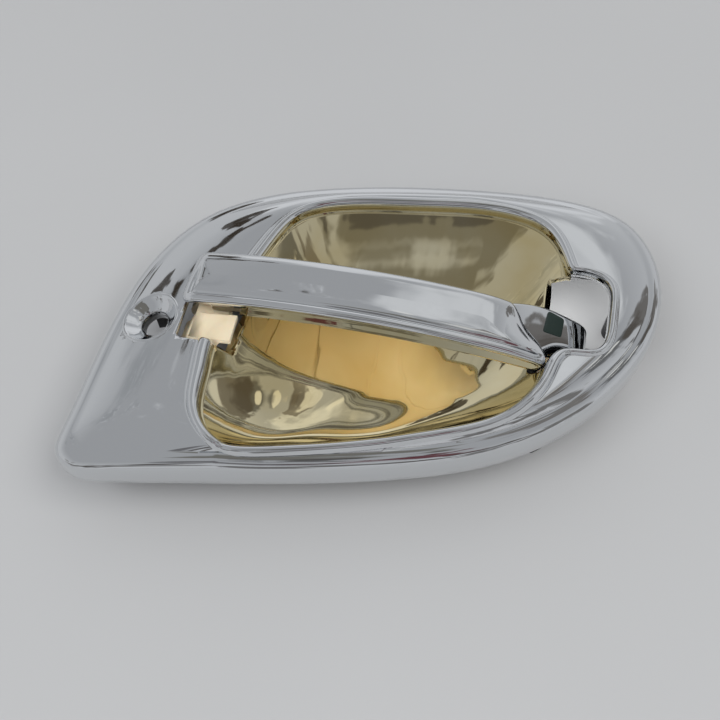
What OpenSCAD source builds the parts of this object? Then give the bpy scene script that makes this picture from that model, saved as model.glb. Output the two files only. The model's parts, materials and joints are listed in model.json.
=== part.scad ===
// Car door handle: an arched pull strap over a recessed bowl in a teardrop escutcheon.
// Frame: +X from the hinge end to the latch end, +Y up the door, +Z out of the door.
// Origin: middle of the plan box, at the rearmost face.

/* [Escutcheon] */
// Overall length
plate_l = 200; // [166:1:240]
// Overall width
plate_w = 147; // [122:1:177]
// Wall of the escutcheon shell
shell_t = 2.5; // [1.8:0.1:3]
// Radius of the rounded outer edge
edge_r = 5; // [3:0.5:7]
// Height of the rolled lip over the dome
lip_h = 2.5; // [1.5:0.1:3.5]
// Radius of the key hole
key_r = 5; // [3.5:0.5:6]
// Outer radius of the dish round the key hole
dish_r = 10.5; // [8:0.5:12]

/* [Heights] */
// Door face over the rear of the part
door_z = 21; // [19:0.5:26]
// Height of the skirt's edge over the door face
skirt_gap = 1; // [0.5:0.5:1.5]
// Height of the skirt
skirt_h = 9; // [7:0.5:12]
// Rise of the dome from the rounded edge to the lip
dome_h = 3.7; // [2.5:0.1:5]
// Drop of the edge at the narrow end
nose_drop = 3.5; // [0:0.5:4]

/* [Bowl] */
// Wall of the bowl
bowl_t = 2; // [1.5:0.1:2.5]
// Depth of the bowl below its flange
bowl_d = 20.5; // [17:0.5:22]
// Width of the bowl's flange
flange_w = 3.4; // [3:0.1:3.8]

/* [Strap] */
// Width of the strap
strap_w = 22.5; // [19:0.5:27]
// Depth of the strap from its top to its underside
strap_d = 9.7; // [8:0.1:11.5]
// Rise of the arch from its ends to its middle
arch_h = 6.5; // [4:0.5:8]
// Wall of the strap's cover
cover_t = 2; // [1.4:0.1:2.4]
// Swing of the handle, degrees
swing = 8; // [6:0.5:8]

/* [Pivots] */
// Radius of the handle's pivot pin
pin_r = 2.5; // [2:0.1:3]
// Wall of the pivot bushes
bush_t = 1.5; // [1:0.1:1.8]
// Radial running clearance of the pins
run_gap = 0.05; // [0.02:0.01:0.09]
// Radius of the bellcrank's pin
crank_pin_r = 2; // [1.5:0.1:2.2]
// Radius from the bellcrank's pin to its input pad
crank_in = 20; // [18:0.5:21]
// Radius from the bellcrank's pin to its output hole
crank_out = 9; // [8:0.5:10]
// Radius of the rod that the clip takes
rod_r = 2; // [1.5:0.1:2.2]

/* [Fasteners] */
// Radius of the threaded inserts' bore
insert_r = 2.1; // [1.6:0.1:2.3]
// Outer radius of the threaded inserts
insert_or = 3.2; // [2.8:0.1:3.4]
// Length of the threaded inserts
insert_l = 9; // [6:0.5:12]
// Shank radius of the escutcheon's screws
plate_screw_r = 1.75; // [1.3:0.05:2]
// Shank radius of the small screws in the bowl and the strap
small_screw_r = 1.2; // [0.9:0.05:1.4]

/* [Chassis] */
// Thickness of the chassis plate
chassis_t = 2.5; // [2:0.1:3]
// Thickness of ribs and walls
rib_t = 2; // [1.4:0.1:2.4]
// Thickness of the door gasket
gasket_t = 2; // [1:0.5:3]

/* [Hidden] */
fn_round = 48;
eps = 0.02;
small_head_r = 2;
small_head_h = 1.5;
plate_head_r = 3.1;
plate_head_h = 2.2;

// Control points of the plan curves, before they are scaled to the overall sizes.
edge_pts = [[-95.5, -38], [-97.5, -50.5], [-89, -56], [-80.5, -56], [-50, -50], [-15, -43.5],
    [20, -35], [49.5, -25], [76, -7], [93, 14.5], [103, 35], [104.5, 59.5], [96, 80],
    [81.5, 90.5], [50, 92], [9.5, 87.5], [-29, 79.5], [-63, 66.5], [-80.5, 50], [-91, 26.5],
    [-95, -5]];
mouth_pts = [[-52, -4.5], [-50, -14], [-50, -29], [-43.5, -37], [-36, -39.5], [-20, -35.5],
    [-0.5, -30.5], [20, -23.5], [40, -16.5], [53.5, -8.5], [60.5, 2.5], [62.5, 12], [66.5, 18.5],
    [73, 19], [79.5, 19.5], [83, 25], [83, 36], [83.5, 47.5], [79, 51.5], [71.5, 52.5],
    [67.5, 51], [65.5, 57.5], [60, 67.5], [50.5, 73], [32, 74], [9.5, 70], [-15, 66.5],
    [-32.5, 60.5], [-39, 51.5], [-44, 34], [-49, 17]];
groove_pts = [[-58, -4], [-56, -14.5], [-55, -29.5], [-45.5, -40.5], [-35.5, -43.5], [-19, -39.5],
    [0.5, -34.5], [21.5, -27.5], [41.5, -20], [56.5, -11.5], [65, 0.5], [67, 10], [69, 16],
    [73, 16.5], [81, 17], [86, 24], [86, 36], [86.5, 49], [80.5, 54], [71, 55], [70, 53.5],
    [68.5, 58.5], [63, 71], [52, 78], [31.5, 79], [8.5, 75], [-16, 71], [-34.5, 64.5],
    [-43.5, 53], [-49, 35.5], [-54, 18]];
// The bowl's rim leaves out the window beside it.
window_first = 12;
window_last = 20;
rim_pts = concat([for (i = [0:window_first - 1]) mouth_pts[i]], [[64.5, 22], [65.5, 34], [66, 46]],
    [for (i = [window_last + 1:len(mouth_pts) - 1]) mouth_pts[i]]);

// Uniform cubic B-spline through a closed ring of control points.
function spline(pts, u) = let (n = len(pts), i = floor(u), t = u - i,
    a = pts[(i + n - 1) % n], b = pts[i % n], c = pts[(i + 1) % n], d = pts[(i + 2) % n])
    (a * (1 - t)^3 + b * (3 * t^3 - 6 * t^2 + 4) + c * (1 + 3 * t + 3 * t^2 - 3 * t^3) + d * t^3) / 6;
function ring(pts, per) = [for (k = [0:len(pts) * per - 1]) spline(pts, k / per)];

edge_ring = ring(edge_pts, 6);
x_mid = (min([for (p = edge_ring) p[0]]) + max([for (p = edge_ring) p[0]])) / 2;
y_mid = (min([for (p = edge_ring) p[1]]) + max([for (p = edge_ring) p[1]])) / 2;
scale_x = plate_l / (max([for (p = edge_ring) p[0]]) - min([for (p = edge_ring) p[0]]));
scale_y = plate_w / (max([for (p = edge_ring) p[1]]) - min([for (p = edge_ring) p[1]]));
function X(x) = (x - x_mid) * scale_x;
function Y(y) = (y - y_mid) * scale_y;
function place(p) = [X(p[0]), Y(p[1])];
function placed(pts) = [for (p = pts) place(p)];
edge = placed(edge_pts);
mouth = placed(mouth_pts);
groove = placed(groove_pts);
rim = placed(rim_pts);

// Heights of the shell.
skirt_z = door_z + skirt_gap;
plate_z = door_z + gasket_t;
plate_top = plate_z + chassis_t;
edge_rise = 0.76 * edge_r;
groove_z = skirt_z + skirt_h + edge_rise + dome_h;
lip_top = groove_z + lip_h;
lip_bottom = groove_z - 3;
draft = 0.6;
function nose(x) = lookup(x, [[X(-97), -nose_drop], [X(-70), -0.45 * nose_drop], [X(-40), 0]]);

// Rays from a middle point pair the outer edge with the lip's groove.
hub = place([8, 28]);
function bearing(p, start) = (atan2(p[1] - hub[1], p[0] - hub[0]) - start + 720) % 360;
function start_of(pts) = atan2(spline(pts, 0)[1] - hub[1], spline(pts, 0)[0] - hub[0]);
function table(pts) = concat([[0, 0]], [for (k = [1:len(pts) * 6 - 1])
    [bearing(spline(pts, k / 6), start_of(pts)), k / 6]], [[360, len(pts)]]);
edge_start = start_of(edge);
edge_table = table(edge);
groove_start = start_of(groove);
groove_table = table(groove);
function edge_at(p) = spline(edge, lookup(bearing(p, edge_start), edge_table));
function groove_at(p) = spline(groove, lookup(bearing(p, groove_start), groove_table));
function crown(t) = 1 - (1 - t)^1.8;
function edge_top(p) = skirt_z + skirt_h + nose(p[0]);
function dome_z(e, t) = (edge_top(e) + edge_rise) * (1 - crown(t)) + groove_z * crown(t);
function surface_z(p) = let (e = edge_at(p), g = groove_at(p), len_eg = norm(g - e))
    dome_z(e, min(1, max(0, (norm(p - e) - edge_r) / (len_eg - edge_r))));

// Faces between rings of points, closed end to end as a torus or capped at both ends.
function band(a, b, n) = [for (k = [0:n - 1]) each [[a * n + k, b * n + k, b * n + (k + 1) % n],
    [a * n + k, b * n + (k + 1) % n, a * n + (k + 1) % n]]];
function flat(rings) = [for (r = rings) each r];
function lift(ring2, z) = [for (p = ring2) [p[0], p[1], z]];
module torus_of(rings) {
    n = len(rings[0]);
    m = len(rings);
    polyhedron(flat(rings), [for (j = [0:m - 1]) each band(j, (j + 1) % m, n)]);
}
module prism_of(pts, z0, z1) translate([0, 0, z0]) linear_extrude(z1 - z0) polygon(pts);
function shrink(pts, d) = [for (p = pts) [p[0] * (1 - 2 * d / plate_l), p[1] * (1 - 2 * d / plate_w)]];

// ---- escutcheon ----
per_lip = 3;
lip_n = len(groove) * per_lip;
groove_ring = ring(groove, per_lip);
mouth_ring = ring(mouth, per_lip);
outer_ring = [for (g = groove_ring) edge_at(g)];
function toward(k, d) = let (e = outer_ring[k], g = groove_ring[k]) e + (g - e) * d / norm(g - e);
function edge_ring_at(d, rise) = [for (k = [0:lip_n - 1])
    let (p = toward(k, d)) [p[0], p[1], edge_top(outer_ring[k]) + rise]];
function dome_ring_at(t, drop) = [for (k = [0:lip_n - 1])
    let (p = toward(k, edge_r) * (1 - t) + groove_ring[k] * t) [p[0], p[1], dome_z(outer_ring[k],
        t) - drop]];
function lip_ring_at(w, z) = [for (k = [0:lip_n - 1])
    let (p = groove_ring[k] * (1 - w) + mouth_ring[k] * w) [p[0], p[1], z]];
shell_rings = [lift(outer_ring, skirt_z), edge_ring_at(draft, 0),
    edge_ring_at(draft + 0.2 * edge_r, 0.55 * edge_rise), edge_ring_at(draft + 0.5 * edge_r,
        0.9 * edge_rise),
    dome_ring_at(0, 0), dome_ring_at(0.33, 0), dome_ring_at(0.66, 0), dome_ring_at(1, 0),
    lip_ring_at(0.12, groove_z + 0.55 * lip_h), lip_ring_at(0.35, lip_top), lip_ring_at(0.6, lip_top),
    lip_ring_at(0.86, groove_z + 0.5 * lip_h), lip_ring_at(1, groove_z - 0.5), lip_ring_at(1, lip_bottom),
    lip_ring_at(0.5, lip_bottom), lip_ring_at(0.35, groove_z - shell_t + 0.3),
    dome_ring_at(0.66, shell_t), dome_ring_at(0.33, shell_t), dome_ring_at(0, shell_t),
    edge_ring_at(shell_t + draft, 0.2 * edge_rise), edge_ring_at(shell_t, skirt_z - edge_top([0, 0]))];

// Places of the screws between the chassis and the escutcheon.
plate_screws = placed([[-66, -39], [-82, -18], [-76, 28], [-42, 60], [77, 75], [90.5, 40]]);
plate_boss_r = plate_screw_r + 1.7;
// Places round the lip, as steps along its curve, of the screws that hold the bowl.
bowl_screw_steps = [1.7, 9.8, 23.4, 26.4];
bowl_screws_at = [for (u = bowl_screw_steps) let (m = spline(mouth, u), g = spline(groove, u))
    m + (g - m) * (small_head_r + bowl_t + 0.5) / norm(g - m)];
small_boss_r = small_screw_r + 1;
key_at = place([-77.6, 3.9]);
key_tilt = 14;
key_l = 8;
dish_d = 4;
// The strap's and the hinge block's extents along Y, which the notch in the lip clears.
strap_y = Y(9.3);
strap_y2 = strap_y + strap_w;
block_y = [Y(-2), Y(26)];
notch_gap = 1.6;
notch = [X(-65.6), block_y[0] - notch_gap, X(-43), strap_y2 + notch_gap];

module on_key() translate([key_at[0], key_at[1], surface_z(key_at)]) rotate([0, -key_tilt, 0]) children();
module escutcheon() color("silver") difference() {
    union() {
        torus_of(shell_rings);
        for (p = plate_screws)
            translate([p[0], p[1], plate_top])
                cylinder(h = surface_z(p) - shell_t / 2 - plate_top, r = plate_boss_r, $fn = fn_round);
        for (p = bowl_screws_at)
            translate([p[0], p[1], lip_bottom])
                cylinder(h = surface_z(p) - shell_t / 2 - lip_bottom, r = small_boss_r, $fn = fn_round);
        on_key() translate([0, 0, -key_l])
            cylinder(h = key_l - shell_t / 2, r1 = key_r + 2.4, r2 = dish_r + 1, $fn = fn_round);
    }
    for (p = plate_screws)
        translate([p[0], p[1], plate_top - 1])
            cylinder(h = surface_z(p) - shell_t - plate_top + 1.8, r = plate_screw_r, $fn = fn_round);
    for (p = bowl_screws_at)
        translate([p[0], p[1], lip_bottom - 1])
            cylinder(h = groove_z - lip_bottom + 0.1, r = small_screw_r, $fn = fn_round);
    on_key() translate([0, 0, -key_l - 1]) cylinder(h = key_l + 2, r = key_r, $fn = fn_round);
    on_key() translate([0, 0, -dish_d])
        cylinder(h = dish_d + 1, r1 = key_r, r2 = dish_r + 1.5, $fn = fn_round);
    translate([notch[0], notch[1], lip_bottom - 6])
        cube([notch[2] - notch[0], notch[3] - notch[1], lip_h + 20]);
}

// ---- bowl ----
flange_z = lip_bottom - 0.1;
flange_out = flange_w * min(scale_x, scale_y);
bowl_mid = place([8, 2]);
per_rim = 3;
rim_ring = ring(rim, per_rim);
function outward(pts, k, d) = let (n = len(pts), t = pts[(k + 1) % n] - pts[(k + n - 1) % n])
    pts[k] + [t[1], -t[0]] * d / norm(t);
function offset_ring(pts, d) = [for (k = [0:len(pts) - 1]) outward(pts, k, d)];
// The bowl rises gently towards its ends and its rear side and steeply towards its front.
function fall(p, s) =
    let (v = (p - bowl_mid) / norm(p - bowl_mid)) 1 - s^(2.6 + (v[1] < 0 ? 3.4 : -0.6) * v[1]^2);
function bowl_ring(s, top, wall) =
    [for (p = rim_ring) let (q = bowl_mid + (p - bowl_mid) * (s + wall * 0.015 * s))
    [q[0], q[1], top - wall - bowl_d * fall(p, s)]];
bowl_steps = [1, 0.97, 0.93, 0.87, 0.78, 0.66, 0.5, 0.32, 0.1];
module bowl_shell() {
    inner = [for (s = bowl_steps) bowl_ring(s, flange_z, 0)];
    outer = [for (j = [len(bowl_steps) - 1:-1:1]) bowl_ring(bowl_steps[j], flange_z, bowl_t)];
    rings = concat([lift(offset_ring(rim_ring, flange_out), flange_z)], inner, outer,
        [lift(offset_ring(rim_ring, bowl_t), flange_z - bowl_t)],
        [lift(offset_ring(rim_ring, flange_out), flange_z - bowl_t)]);
    n = len(rim_ring);
    m = len(rings);
    half = len(inner);
    polyhedron(concat(flat(rings), [[bowl_mid[0], bowl_mid[1], flange_z - bowl_d],
        [bowl_mid[0], bowl_mid[1], flange_z - bowl_t - bowl_d]]),
        concat([for (j = [0:m - 1]) if (j != half) each band(j, (j + 1) % m, n)],
            [for (k = [0:n - 1]) [half * n + k, m * n, half * n + (k + 1) % n]],
            [for (k = [0:n - 1]) [(half + 1) * n + k, (half + 1) * n + (k + 1) % n, m * n + 1]]));
}
module bowl() color("darkgoldenrod") difference() {
    union() {
        bowl_shell();
        for (p = bowl_screws_at)
            translate([p[0], p[1], flange_z - bowl_t])
                cylinder(h = bowl_t, r = small_head_r + 0.3, $fn = fn_round);
    }
    // gap for the hinge block
    translate([X(-72), block_y[0] - 0.8, flange_z - 5])
        cube([X(-45) - X(-72), strap_y2 + notch_gap + 0.6 - block_y[0] + 0.8, 12]);
    // gap for the leg
    translate([X(57.5), Y(9.5), flange_z - 11]) cube([30, Y(39) - Y(9.5), 20]);
    translate([X(61), Y(38), flange_z - 6])
        rotate([90, 0, 90]) linear_extrude(30)
            polygon([[-1, -5], [-1, 20], [Y(52) - Y(38), 20], [Y(50) - Y(38), 5.5]]);
    for (p = bowl_screws_at)
        translate([p[0], p[1], flange_z - bowl_t - 1])
            cylinder(h = bowl_t + 2, r = small_screw_r + 0.2, $fn = fn_round);
}

// ---- strap and its two shells ----
strap_x = [X(-67), X(62)];
strap_end_z = lip_top + 1.7;
function strap_top(x) = strap_end_z + arch_h * (1 - ((x - X(-3)) / (X(62) - X(-3)))^2);
function strap_low(x) = strap_top(x) - strap_d;
function steps(a, b, n) = [for (k = [0:n]) a + (b - a) * k / n];
over_x = X(-56);
end_low = lip_top - 0.9;
leg_x = [X(69.6), X(78.4)];
leg_y = [Y(22.5), Y(36.5)];
pivot = [X(-61), 0, door_z + 4];
// Everything in a side view is drawn as x and z, then run along y.
module side_plate(y0, y1) translate([0, y1, 0]) rotate([90, 0, 0]) linear_extrude(y1 - y0) children();
module strap_side(top, low, x0, x1) polygon(concat(
    [for (x = steps(x0, x1, 20)) [x, strap_top(x) - top]],
    [for (x = steps(x1, max(x0, over_x), 20)) [x, strap_low(x) - low]],
    x0 < over_x ? [[over_x, end_low], [x0, end_low]] : []));
leg_top = [[X(46), strap_low(X(46)) + 5], [X(46), strap_top(X(46)) - 1.2], [X(60), groove_z - 1.7],
    [X(69), groove_z - 5.6], [X(74.5), groove_z - 8.4], [X(77.2), groove_z - 10.8], [leg_x[1],
        groove_z - 14]];
leg_foot_z = 13;
leg_plan = placed([[46, 31.6], [60, 36.5], [78.4, 36.5], [78.4, 22.5], [68, 22.5], [62, 13.5], [46, 10]]);
module leg_block(inset) intersection() {
    side_plate(Y(5), Y(40)) polygon(concat(
        [for (p = leg_top) [p[0] - (p[0] > X(70) ? inset : 0), p[1] - inset]],
        [[leg_x[1] - inset, leg_foot_z], [leg_x[0] + inset, leg_foot_z],
            [leg_x[0] + inset, groove_z - 13.5],
            [X(64), groove_z - 9.5], [X(55), groove_z - 5.8]]));
    prism_of([for (p = leg_plan) [p[0], p[1] + (p[1] > Y(25) ? -inset : inset)]], 0, 60);
}
strap_plan = [[strap_x[0] + 2.5, strap_y2], [strap_x[0], strap_y2 - 3], [strap_x[0] - 0.5, strap_y + 3],
    [strap_x[0] + 2, strap_y], [strap_x[1] - 1, strap_y + 1], [strap_x[1], strap_y + 3], [X(54), Y(25)],
    [X(48), strap_y2 - 0.5]];
cover_screws_x = [X(-36), X(34)];
cover_screw_y = Y(20.5);
module handle_cover() color("gainsboro") difference() {
    union() {
        intersection() {
            side_plate(strap_y, strap_y2) strap_side(0, 0, strap_x[0] - 1, strap_x[1]);
            prism_of(strap_plan, 0, 80);
        }
        leg_block(0);
    }
    difference() {
        side_plate(strap_y + cover_t, strap_y2 - cover_t) strap_side(cover_t, 2, over_x, X(52));
        for (x = cover_screws_x)
            translate([x, cover_screw_y, strap_low(x) + 4.1])
                cylinder(h = 10, r = small_boss_r + 0.6, $fn = fn_round);
    }
    side_plate(strap_y + cover_t, strap_y2 - cover_t)
        polygon([[X(-63.5), end_low - 1], [X(-63.5), end_low + 1.6],
        [over_x + 1, end_low + 1.6], [over_x + 1, end_low - 1]]);
    core_cavity();
    for (x = cover_screws_x)
        translate([x, cover_screw_y, strap_low(x)])
            cylinder(h = strap_d - 1, r = small_screw_r, $fn = fn_round);
    leg_pocket(0);
}
// Space for the inner shell's core inside the leg.
module core_cavity() side_plate(leg_y[0] + cover_t, leg_y[1] - cover_t) polygon([[X(45), groove_z - 9.5],
    [X(45), groove_z - 1], [X(51), groove_z - 1.9], [X(58), groove_z - 4.4], [X(68), groove_z - 9],
        [X(74), groove_z - 12.5],
    [leg_x[1] - cover_t, groove_z - 15], [leg_x[1] - cover_t, 0], [leg_x[0] + 0.6, 0],
    [leg_x[0] + 0.6, groove_z - 15], [X(64), groove_z - 12.4]]);
// Shallow seat for the rubber pad on the slope of the leg.
pad_x = [X(60.8), X(67.4)];
pad_y = [Y(25.6), Y(34.4)];
pad_t = 1.2;
function leg_slope(x) = lookup(x, [for (i = [1:3]) leg_top[i]]);
module leg_pocket(gap) side_plate(pad_y[0] + gap, pad_y[1] - gap) polygon([
    [pad_x[0] + gap, leg_slope(pad_x[0] + gap) - pad_t], [pad_x[1] - gap,
        leg_slope(pad_x[1] - gap) - pad_t],
    [pad_x[1] - gap, leg_slope(pad_x[1]) + 0.3], [pad_x[0] + gap, leg_slope(pad_x[0]) + 0.3]]);
module leg_pad() color("darkslategray") leg_pocket(0.05);

// ---- inner shell with the hinge block and the leg's core ----
fit_gap = 0.1;
inner_t = 2.4;
bush_r = pin_r + run_gap + bush_t;
block_r = bush_r + 2.4;
spring_y = [Y(8.5), Y(15.5)];
foot_t = 2.6;
foot_z = 2.7;
foot_y = [Y(24.2), Y(34)];
module hinge_side(top) {
    translate([pivot[0], pivot[2]]) circle(block_r, $fn = fn_round);
    polygon([[pivot[0] - block_r * 0.62, pivot[2] + block_r * 0.78], [pivot[0] - 0.3, top], [X(-56), top],
        [X(-49), strap_low(X(-49)) + inner_t], [X(-46), strap_low(X(-46)) + inner_t],
        [X(-46), strap_low(X(-46))], [X(-50), strap_low(X(-50))],
            [pivot[0] + block_r * 0.9, pivot[2] + 2.5]]);
}
module handle_inner_shell() color("burlywood") difference() {
    union() {
        // underside of the strap
        side_plate(strap_y + cover_t + fit_gap, strap_y2 - cover_t - fit_gap) polygon(concat(
            [for (x = steps(X(-50), X(51.5), 20)) [x, strap_low(x)]],
            [for (x = steps(X(51.5), X(-50), 20)) [x, strap_low(x) + inner_t]]));
        // stiffening ribs and screw pads on it
        for (x = steps(X(-44), X(44), 4))
            translate([x - rib_t / 2, strap_y + cover_t + fit_gap, strap_low(x) + 1])
                cube([rib_t, strap_w - 2 * cover_t - 2 * fit_gap, strap_d - cover_t - 1.6]);
        for (x = cover_screws_x)
            translate([x, cover_screw_y, strap_low(x) + 0.5])
                cylinder(h = 3.5, r = small_boss_r + 1, $fn = fn_round);
        side_plate(block_y[0], spring_y[0]) hinge_side(strap_low(X(-56)) + 1.8);
        side_plate(spring_y[1], block_y[1]) hinge_side(end_low + 1.4);
        // bridge over the spring
        side_plate(spring_y[0] - 1, spring_y[1] + 1) polygon([[X(-62), pivot[2] + block_r],
            [X(-62), strap_low(X(-56)) - fit_gap], [X(-50), strap_low(X(-56)) - fit_gap],
                [X(-50), pivot[2] + block_r]]);
        side_plate(strap_y + cover_t + fit_gap, strap_y2 - cover_t - 2) polygon([[X(-57), end_low + 1.4],
            [X(-57), end_low - 2.4], [X(-49), strap_low(X(-49))],
                [X(-46), strap_low(X(-46)) + inner_t], [X(-50), end_low + 1.2]]);
        // core of the leg
        side_plate(leg_y[0] + cover_t + fit_gap, leg_y[1] - cover_t - fit_gap)
            polygon([[X(46), strap_low(X(46))],
            [X(46), groove_z - 1.4], [X(51), groove_z - 2.1], [X(58), groove_z - 4.6],
                [X(68), groove_z - 9.2], [X(74), groove_z - 12.7],
            [leg_x[1] - cover_t - fit_gap, groove_z - 15.2], [leg_x[1] - cover_t - fit_gap, foot_z],
            [leg_x[0] + 0.7, foot_z], [leg_x[0] + 0.7, groove_z - 14.6], [X(64), groove_z - 11.9]]);
        // foot that lifts the bellcrank
        translate([X(64), foot_y[0], foot_z])
            cube([leg_x[1] - cover_t - fit_gap - X(64), foot_y[1] - foot_y[0], foot_t]);
    }
    translate([pivot[0], 0, pivot[2]]) rotate([90, 0, 0])
        cylinder(h = 200, r = bush_r, center = true, $fn = fn_round);
    for (x = cover_screws_x) {
        translate([x, cover_screw_y, 0]) cylinder(h = 80, r = small_screw_r + 0.2, $fn = fn_round);
        translate([x, cover_screw_y, strap_low(x) - 2])
            cylinder(h = 3.6, r = small_head_r + 0.3, $fn = fn_round);
    }
}

// ---- fasteners ----
// A pan-head screw pointing up, its head's bearing face at z = 0.
module screw(r, l, head_r, head_h) {
    cylinder(h = l, r = r, $fn = fn_round);
    difference() {
        translate([0, 0, -head_h]) cylinder(h = head_h, r = head_r, $fn = fn_round);
        translate([0, 0, -head_h - eps]) cylinder(h = head_h * 0.55, r = head_r * 0.5, $fn = 6);
    }
}
module handle_cover_screws() color("dimgray")
    for (x = cover_screws_x)
        translate([x, cover_screw_y, strap_low(x) + 1.6])
            screw(small_screw_r, 6, small_head_r, small_head_h);
module escutcheon_screws() color("dimgray")
    for (p = plate_screws)
        translate([p[0], p[1], plate_z]) screw(plate_screw_r, chassis_t + 5, plate_head_r, plate_head_h);
module bowl_screws() color("dimgray")
    for (p = bowl_screws_at)
        translate([p[0], p[1], flange_z - bowl_t])
            screw(small_screw_r, bowl_t + 2, small_head_r, small_head_h);

// ---- handle pivot ----
ear_t = 4;
ear_gap = 0.5;
ears_y = [block_y[0] - ear_gap - ear_t, block_y[1] + ear_gap];
pin_over = 2;
module along_y(at, y0, y1, r) translate([at[0], y1, at[2]]) rotate([90, 0, 0])
    cylinder(h = y1 - y0, r = r, $fn = fn_round);
pin_y = [ears_y[0] - 1.6, ears_y[1] + ear_t + pin_over];
module pivot_pin() color("lightgray") difference() {
    union() {
        along_y(pivot, pin_y[0], pin_y[1], pin_r);
        along_y(pivot, pin_y[0], ears_y[0] - 0.05, pin_r + 1.6);
    }
    difference() {
        along_y(pivot, pin_y[1] - 1.4, pin_y[1] - 0.7, pin_r + 1);
        along_y(pivot, pin_y[1] - 2, pin_y[1], pin_r - 0.6);
    }
}
module pivot_clip() color("slategray") difference() {
    along_y(pivot, pin_y[1] - 1.35, pin_y[1] - 0.75, pin_r + 2.2);
    along_y(pivot, pin_y[1] - 3, pin_y[1] + 1, pin_r - 0.55);
    translate([pivot[0] - 1.7, pin_y[1] - 3, pivot[2] - 10]) cube([3.4, 4, 10]);
}
module bush(y0, y1) difference() {
    along_y(pivot, y0, y1, bush_r);
    along_y(pivot, y0 - 1, y1 + 1, pin_r + run_gap);
}
module pivot_bushes() color("ivory") {
    bush(block_y[0], spring_y[0]);
    bush(spring_y[1], block_y[1]);
}

// A wire wound on a straight axis, with two tangent legs, as one swept tube along +Y.
function coil_path(r, len_y, turns, leg_a, leg_b) = concat([[r, 0, -leg_a]],
    [for (k = [0:turns * 14]) [r * cos(k * 360 / 14), len_y * k / (turns * 14), r * sin(k * 360 / 14)]],
    [[r * cos(turns * 360) - leg_b * sin(turns * 360), len_y,
        r * sin(turns * 360) + leg_b * cos(turns * 360)]]);
function tangent(path, k) =
    let (a = path[max(0, k - 1)], b = path[min(len(path) - 1, k + 1)]) (b - a) / norm(b - a);
module wire(path, r) {
    sides = 8;
    n = len(path);
    pts = [for (k = [0:n - 1]) let (t = tangent(path, k), u0 = cross(t, [0, 1, 0]), u = u0 / norm(u0),
        v = cross(u, t))
        each [for (s = [0:sides - 1]) path[k] + r * (u * cos(s * 360 / sides) + v * sin(s * 360 / sides))]];
    polyhedron(pts, concat([[for (s = [0:sides - 1]) s]],
        [[for (s = [sides - 1:-1:0]) (n - 1) * sides + s]],
        [for (k = [0:n - 2]) each [for (s = [0:sides - 1]) each [
            [k * sides + s, (k + 1) * sides + s, (k + 1) * sides + (s + 1) % sides],
            [k * sides + s, (k + 1) * sides + (s + 1) % sides, k * sides + (s + 1) % sides]]]]));
}
spring_wire_r = 0.55;
module return_spring() color("darkgray")
    translate([pivot[0], spring_y[0] + spring_wire_r + 0.35, pivot[2]])
        wire(coil_path(pin_r + 1.1, spring_y[1] - spring_y[0] - 2 * spring_wire_r - 0.7, 4.5, 6, 5),
            spring_wire_r);

// ---- bellcrank ----
crank_at = [0, Y(8), door_z - 3.5];
crank_rest = 28;
crank_x = [X(65.3), X(72.3)];
arm_t = 2.5;
crank_hub_r = crank_pin_r + 1.8;
pad_r = 2.6;
arm_w = 4.4;
pad_at = [Y(8) + crank_in * cos(crank_rest), crank_at[2] - crank_in * sin(crank_rest)];
out_at = [Y(8) - crank_out * sin(crank_rest), crank_at[2] - crank_out * cos(crank_rest)];
module along_x(yz, x0, x1, r) translate([x0, yz[0], yz[1]]) rotate([0, 90, 0])
    cylinder(h = x1 - x0, r = r, $fn = fn_round);
// A flat arm between two points of the side view, drawn as y and z and run along x.
module arm(p, q, x0, x1, wide, narrow) {
    v = (q - p) / norm(q - p);
    side = [-v[1], v[0]] / 2;
    translate([x0, 0, 0]) rotate([90, 0, 90]) linear_extrude(x1 - x0)
        polygon([p + side * wide, q + side * narrow, q - side * narrow, p - side * wide]);
}
clip_pin_r = 1.6;
crank_yz = [crank_at[1], crank_at[2]];
module bellcrank() color("dimgray") difference() {
    union() {
        along_x(crank_yz, crank_x[0], crank_x[1], crank_hub_r);
        arm(crank_yz, pad_at, crank_x[0], crank_x[0] + arm_t, arm_w + 2, arm_w);
        along_x(pad_at, crank_x[0], crank_x[0] + arm_t, pad_r);
        arm(crank_yz, out_at, crank_x[1] - arm_t, crank_x[1], arm_w + 2, arm_w);
        along_x(out_at, crank_x[1] - arm_t, crank_x[1], clip_pin_r + 1.8);
    }
    along_x(crank_yz, crank_x[0] - 1, crank_x[1] + 1, crank_pin_r + run_gap);
    along_x(out_at, crank_x[0] - 1, crank_x[1] + 1, clip_pin_r + run_gap);
    along_x(weight_yz, crank_x[0] - 1, crank_x[1] + 1, weight_r);
}
weight_r = 1.4;
weight_yz = crank_yz + (pad_at - crank_yz) * 0.55;
module counterweight() color("gray") along_x(weight_yz, crank_x[0] - 0.6, crank_x[0] + arm_t + 0.6,
    weight_r);
crank_ear_t = 2.8;
crank_ears_x = [crank_x[0] - 0.4 - crank_ear_t, crank_x[1] + 0.4];
crank_pin_x = [crank_ears_x[0] - 1.4, crank_ears_x[1] + crank_ear_t + 1.6];
module crank_pin() color("lightgray") difference() {
    union() {
        along_x(crank_yz, crank_pin_x[0], crank_pin_x[1], crank_pin_r);
        along_x(crank_yz, crank_pin_x[0], crank_ears_x[0] - 0.05, crank_pin_r + 1.2);
    }
    difference() {
        along_x(crank_yz, crank_pin_x[1] - 1.2, crank_pin_x[1] - 0.5, crank_pin_r + 1);
        along_x(crank_yz, crank_pin_x[1] - 2, crank_pin_x[1] + 1, crank_pin_r - 0.5);
    }
}
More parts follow.
